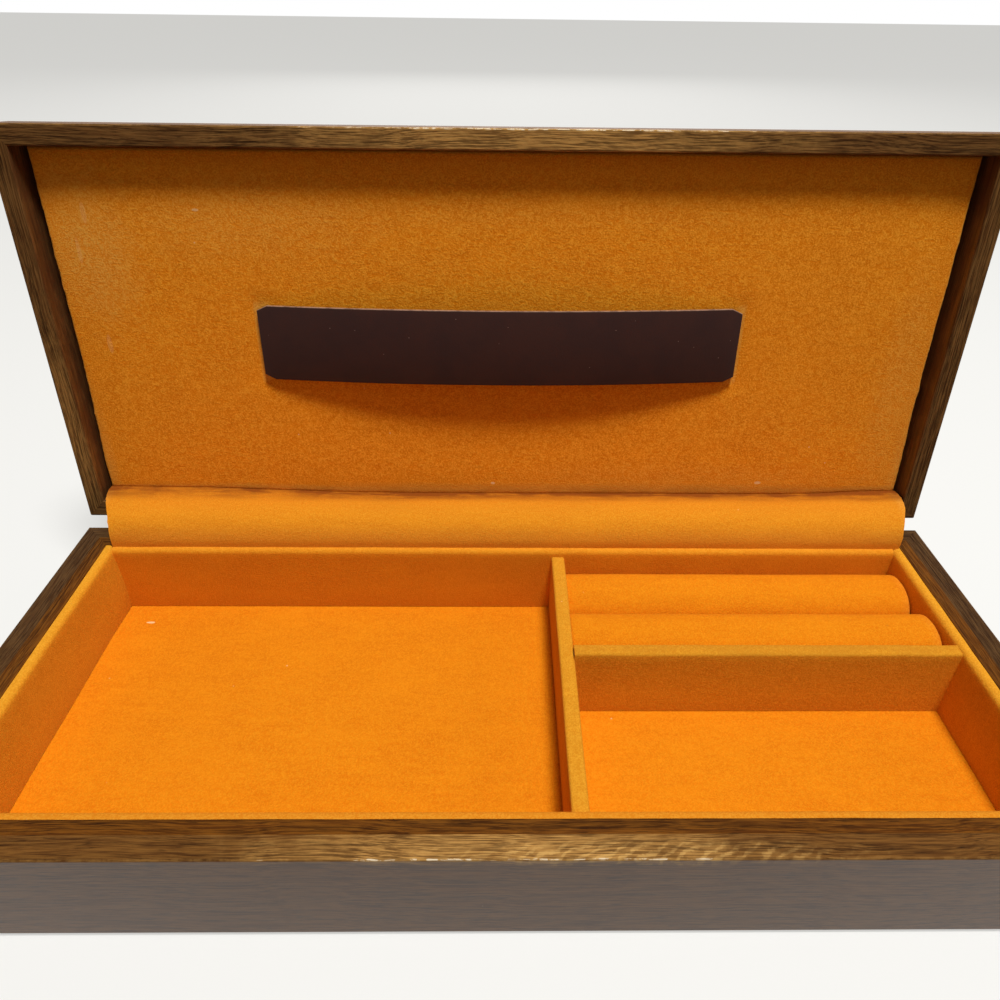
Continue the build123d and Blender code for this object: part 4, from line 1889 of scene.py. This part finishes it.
def dress_small_parts(nodes: dict[str, Piece], effects: Effects) -> None:
    """Gives card and brass nodes their finishes.

    Args:
        nodes: The CAD nodes by name.
        effects: The shared shader groups.
    """
    card = PlainFinish("grey_card", srgb(150, 134, 110), srgb(128, 112, 90), (300, 300, 300))
    card = card.build(effects)
    brass = PlainFinish(
        "aged_brass", srgb(196, 160, 92), srgb(134, 102, 54), (220, 220, 220), roughness=0.34,
        metallic=1.0, bump=0.00005,
    ).build(effects)
    for name, node in nodes.items():
        if "hinge" in name and name != "hinge_flap":
            dress(node, brass)
        elif name.endswith(("_board", "_card", "_core")) or name.startswith("lining_board"):
            dress(node, card)
    LOG.info("dressed the cards and the hinges")


def build_velvets(effects: Effects, pin: Vector) -> tuple[bpy.types.Material, ...]:
    """Builds the velvets: copies of one velvet, worn unequally and toned for the light each place
    gets, as painted light and shade.

    Args:
        effects: The shared shader groups.
        pin: A point of the lid's hinge pin.

    Returns:
        The floor's, the faded, the lining's, the flap's and the pad's velvet.
    """
    # Painted light and shade: the pad's copy is brighter for its weaker light, and the copies for
    # the linings, the flap and the dividers are yellower for the shade they stand in
    tones = (srgb(212, 115, 11), srgb(222, 127, 14), srgb(238, 152, 28))
    pad_tones = (srgb(220, 119, 12), srgb(233, 131, 16), srgb(254, 170, 48))
    lining_tones = (srgb(212, 122, 19), srgb(223, 135, 23), srgb(240, 162, 44))
    shade_toned_tones = (srgb(209, 134, 26), srgb(220, 147, 32), srgb(238, 168, 46))
    velvet = VelvetFinish("orange_velvet", *tones, lint=(
        Patch((-0.1390, 0.0460, 0.0076), (0.0026, 0.0008, 0.002), 0.85),
    )).build(effects)
    faded_velvet = VelvetFinish("faded_velvet", *shade_toned_tones, speckle=0.85).build(effects)
    lining_velvet = VelvetFinish("lining_velvet", *lining_tones, speckle=0.7).build(effects)
    flap_velvet = VelvetFinish(
        "flap_velvet", *lining_tones, speckle=0.75, follows_surface=True
    ).build(effects)
    pad_velvet = VelvetFinish(
        "pad_velvet", *pad_tones, tuft=0.55, speckle=0.9, closed_by=(Lid.open_angle, pin), patches=(
            Patch((-0.143, -0.030, 0.042), (0.022, 0.036, 0.02), 0.9),
            Patch((-0.090, -0.040, 0.042), (0.060, 0.020, 0.02), 0.42),
            Patch((0.148, 0.020, 0.042), (0.014, 0.060, 0.02), 0.45),
            Patch((0.070, 0.056, 0.042), (0.100, 0.010, 0.02), 0.30),
            Patch((0.0, -0.044, 0.042), (0.150, 0.008, 0.02), 0.16),
        ), lint=(
            Patch((-0.1425, -0.0430, 0.042), (0.0012, 0.0045, 0.004), 0.13),
            Patch((-0.1470, -0.0300, 0.042), (0.0010, 0.0060, 0.004), 0.12),
            Patch((-0.1440, 0.0020, 0.042), (0.0012, 0.0050, 0.004), 0.13),
            Patch((-0.1050, -0.0442, 0.042), (0.0014, 0.0005, 0.004), 0.6),
            Patch((-0.0051, 0.0578, 0.042), (0.0012, 0.0008, 0.006), 0.7),
            Patch((0.1010, 0.0572, 0.042), (0.0016, 0.0008, 0.006), 0.6),
        ),
    ).build(effects)
    return velvet, faded_velvet, lining_velvet, flap_velvet, pad_velvet


def main() -> None:
    """Builds the finishes, then each sub-assembly, then the studio."""
    logging.basicConfig(level=logging.INFO, format="%(name)s: %(message)s")
    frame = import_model()
    nodes = frame["nodes"]
    effects = Effects()

    low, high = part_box("hinge_pin_left")
    pin = Vector((0, *((low + high) / 2).yz))
    velvet, faded_velvet, lining_velvet, flap_velvet, pad_velvet = build_velvets(effects, pin)
    leather = LeatherFinish(
        "brown_leather", srgb(51, 25, 18), srgb(43, 20, 15), srgb(158, 124, 98)
    ).build(effects)

    Case(effects).build(nodes)
    Lining(lining_velvet, faded_velvet, velvet).build()
    RingRolls(velvet).build()
    HingeFlap(flap_velvet).build()
    Lid(effects, pad_velvet, leather, pin).build(nodes)
    dress_small_parts(nodes, effects)
    Studio().build()


if __name__ == "__main__":
    main()
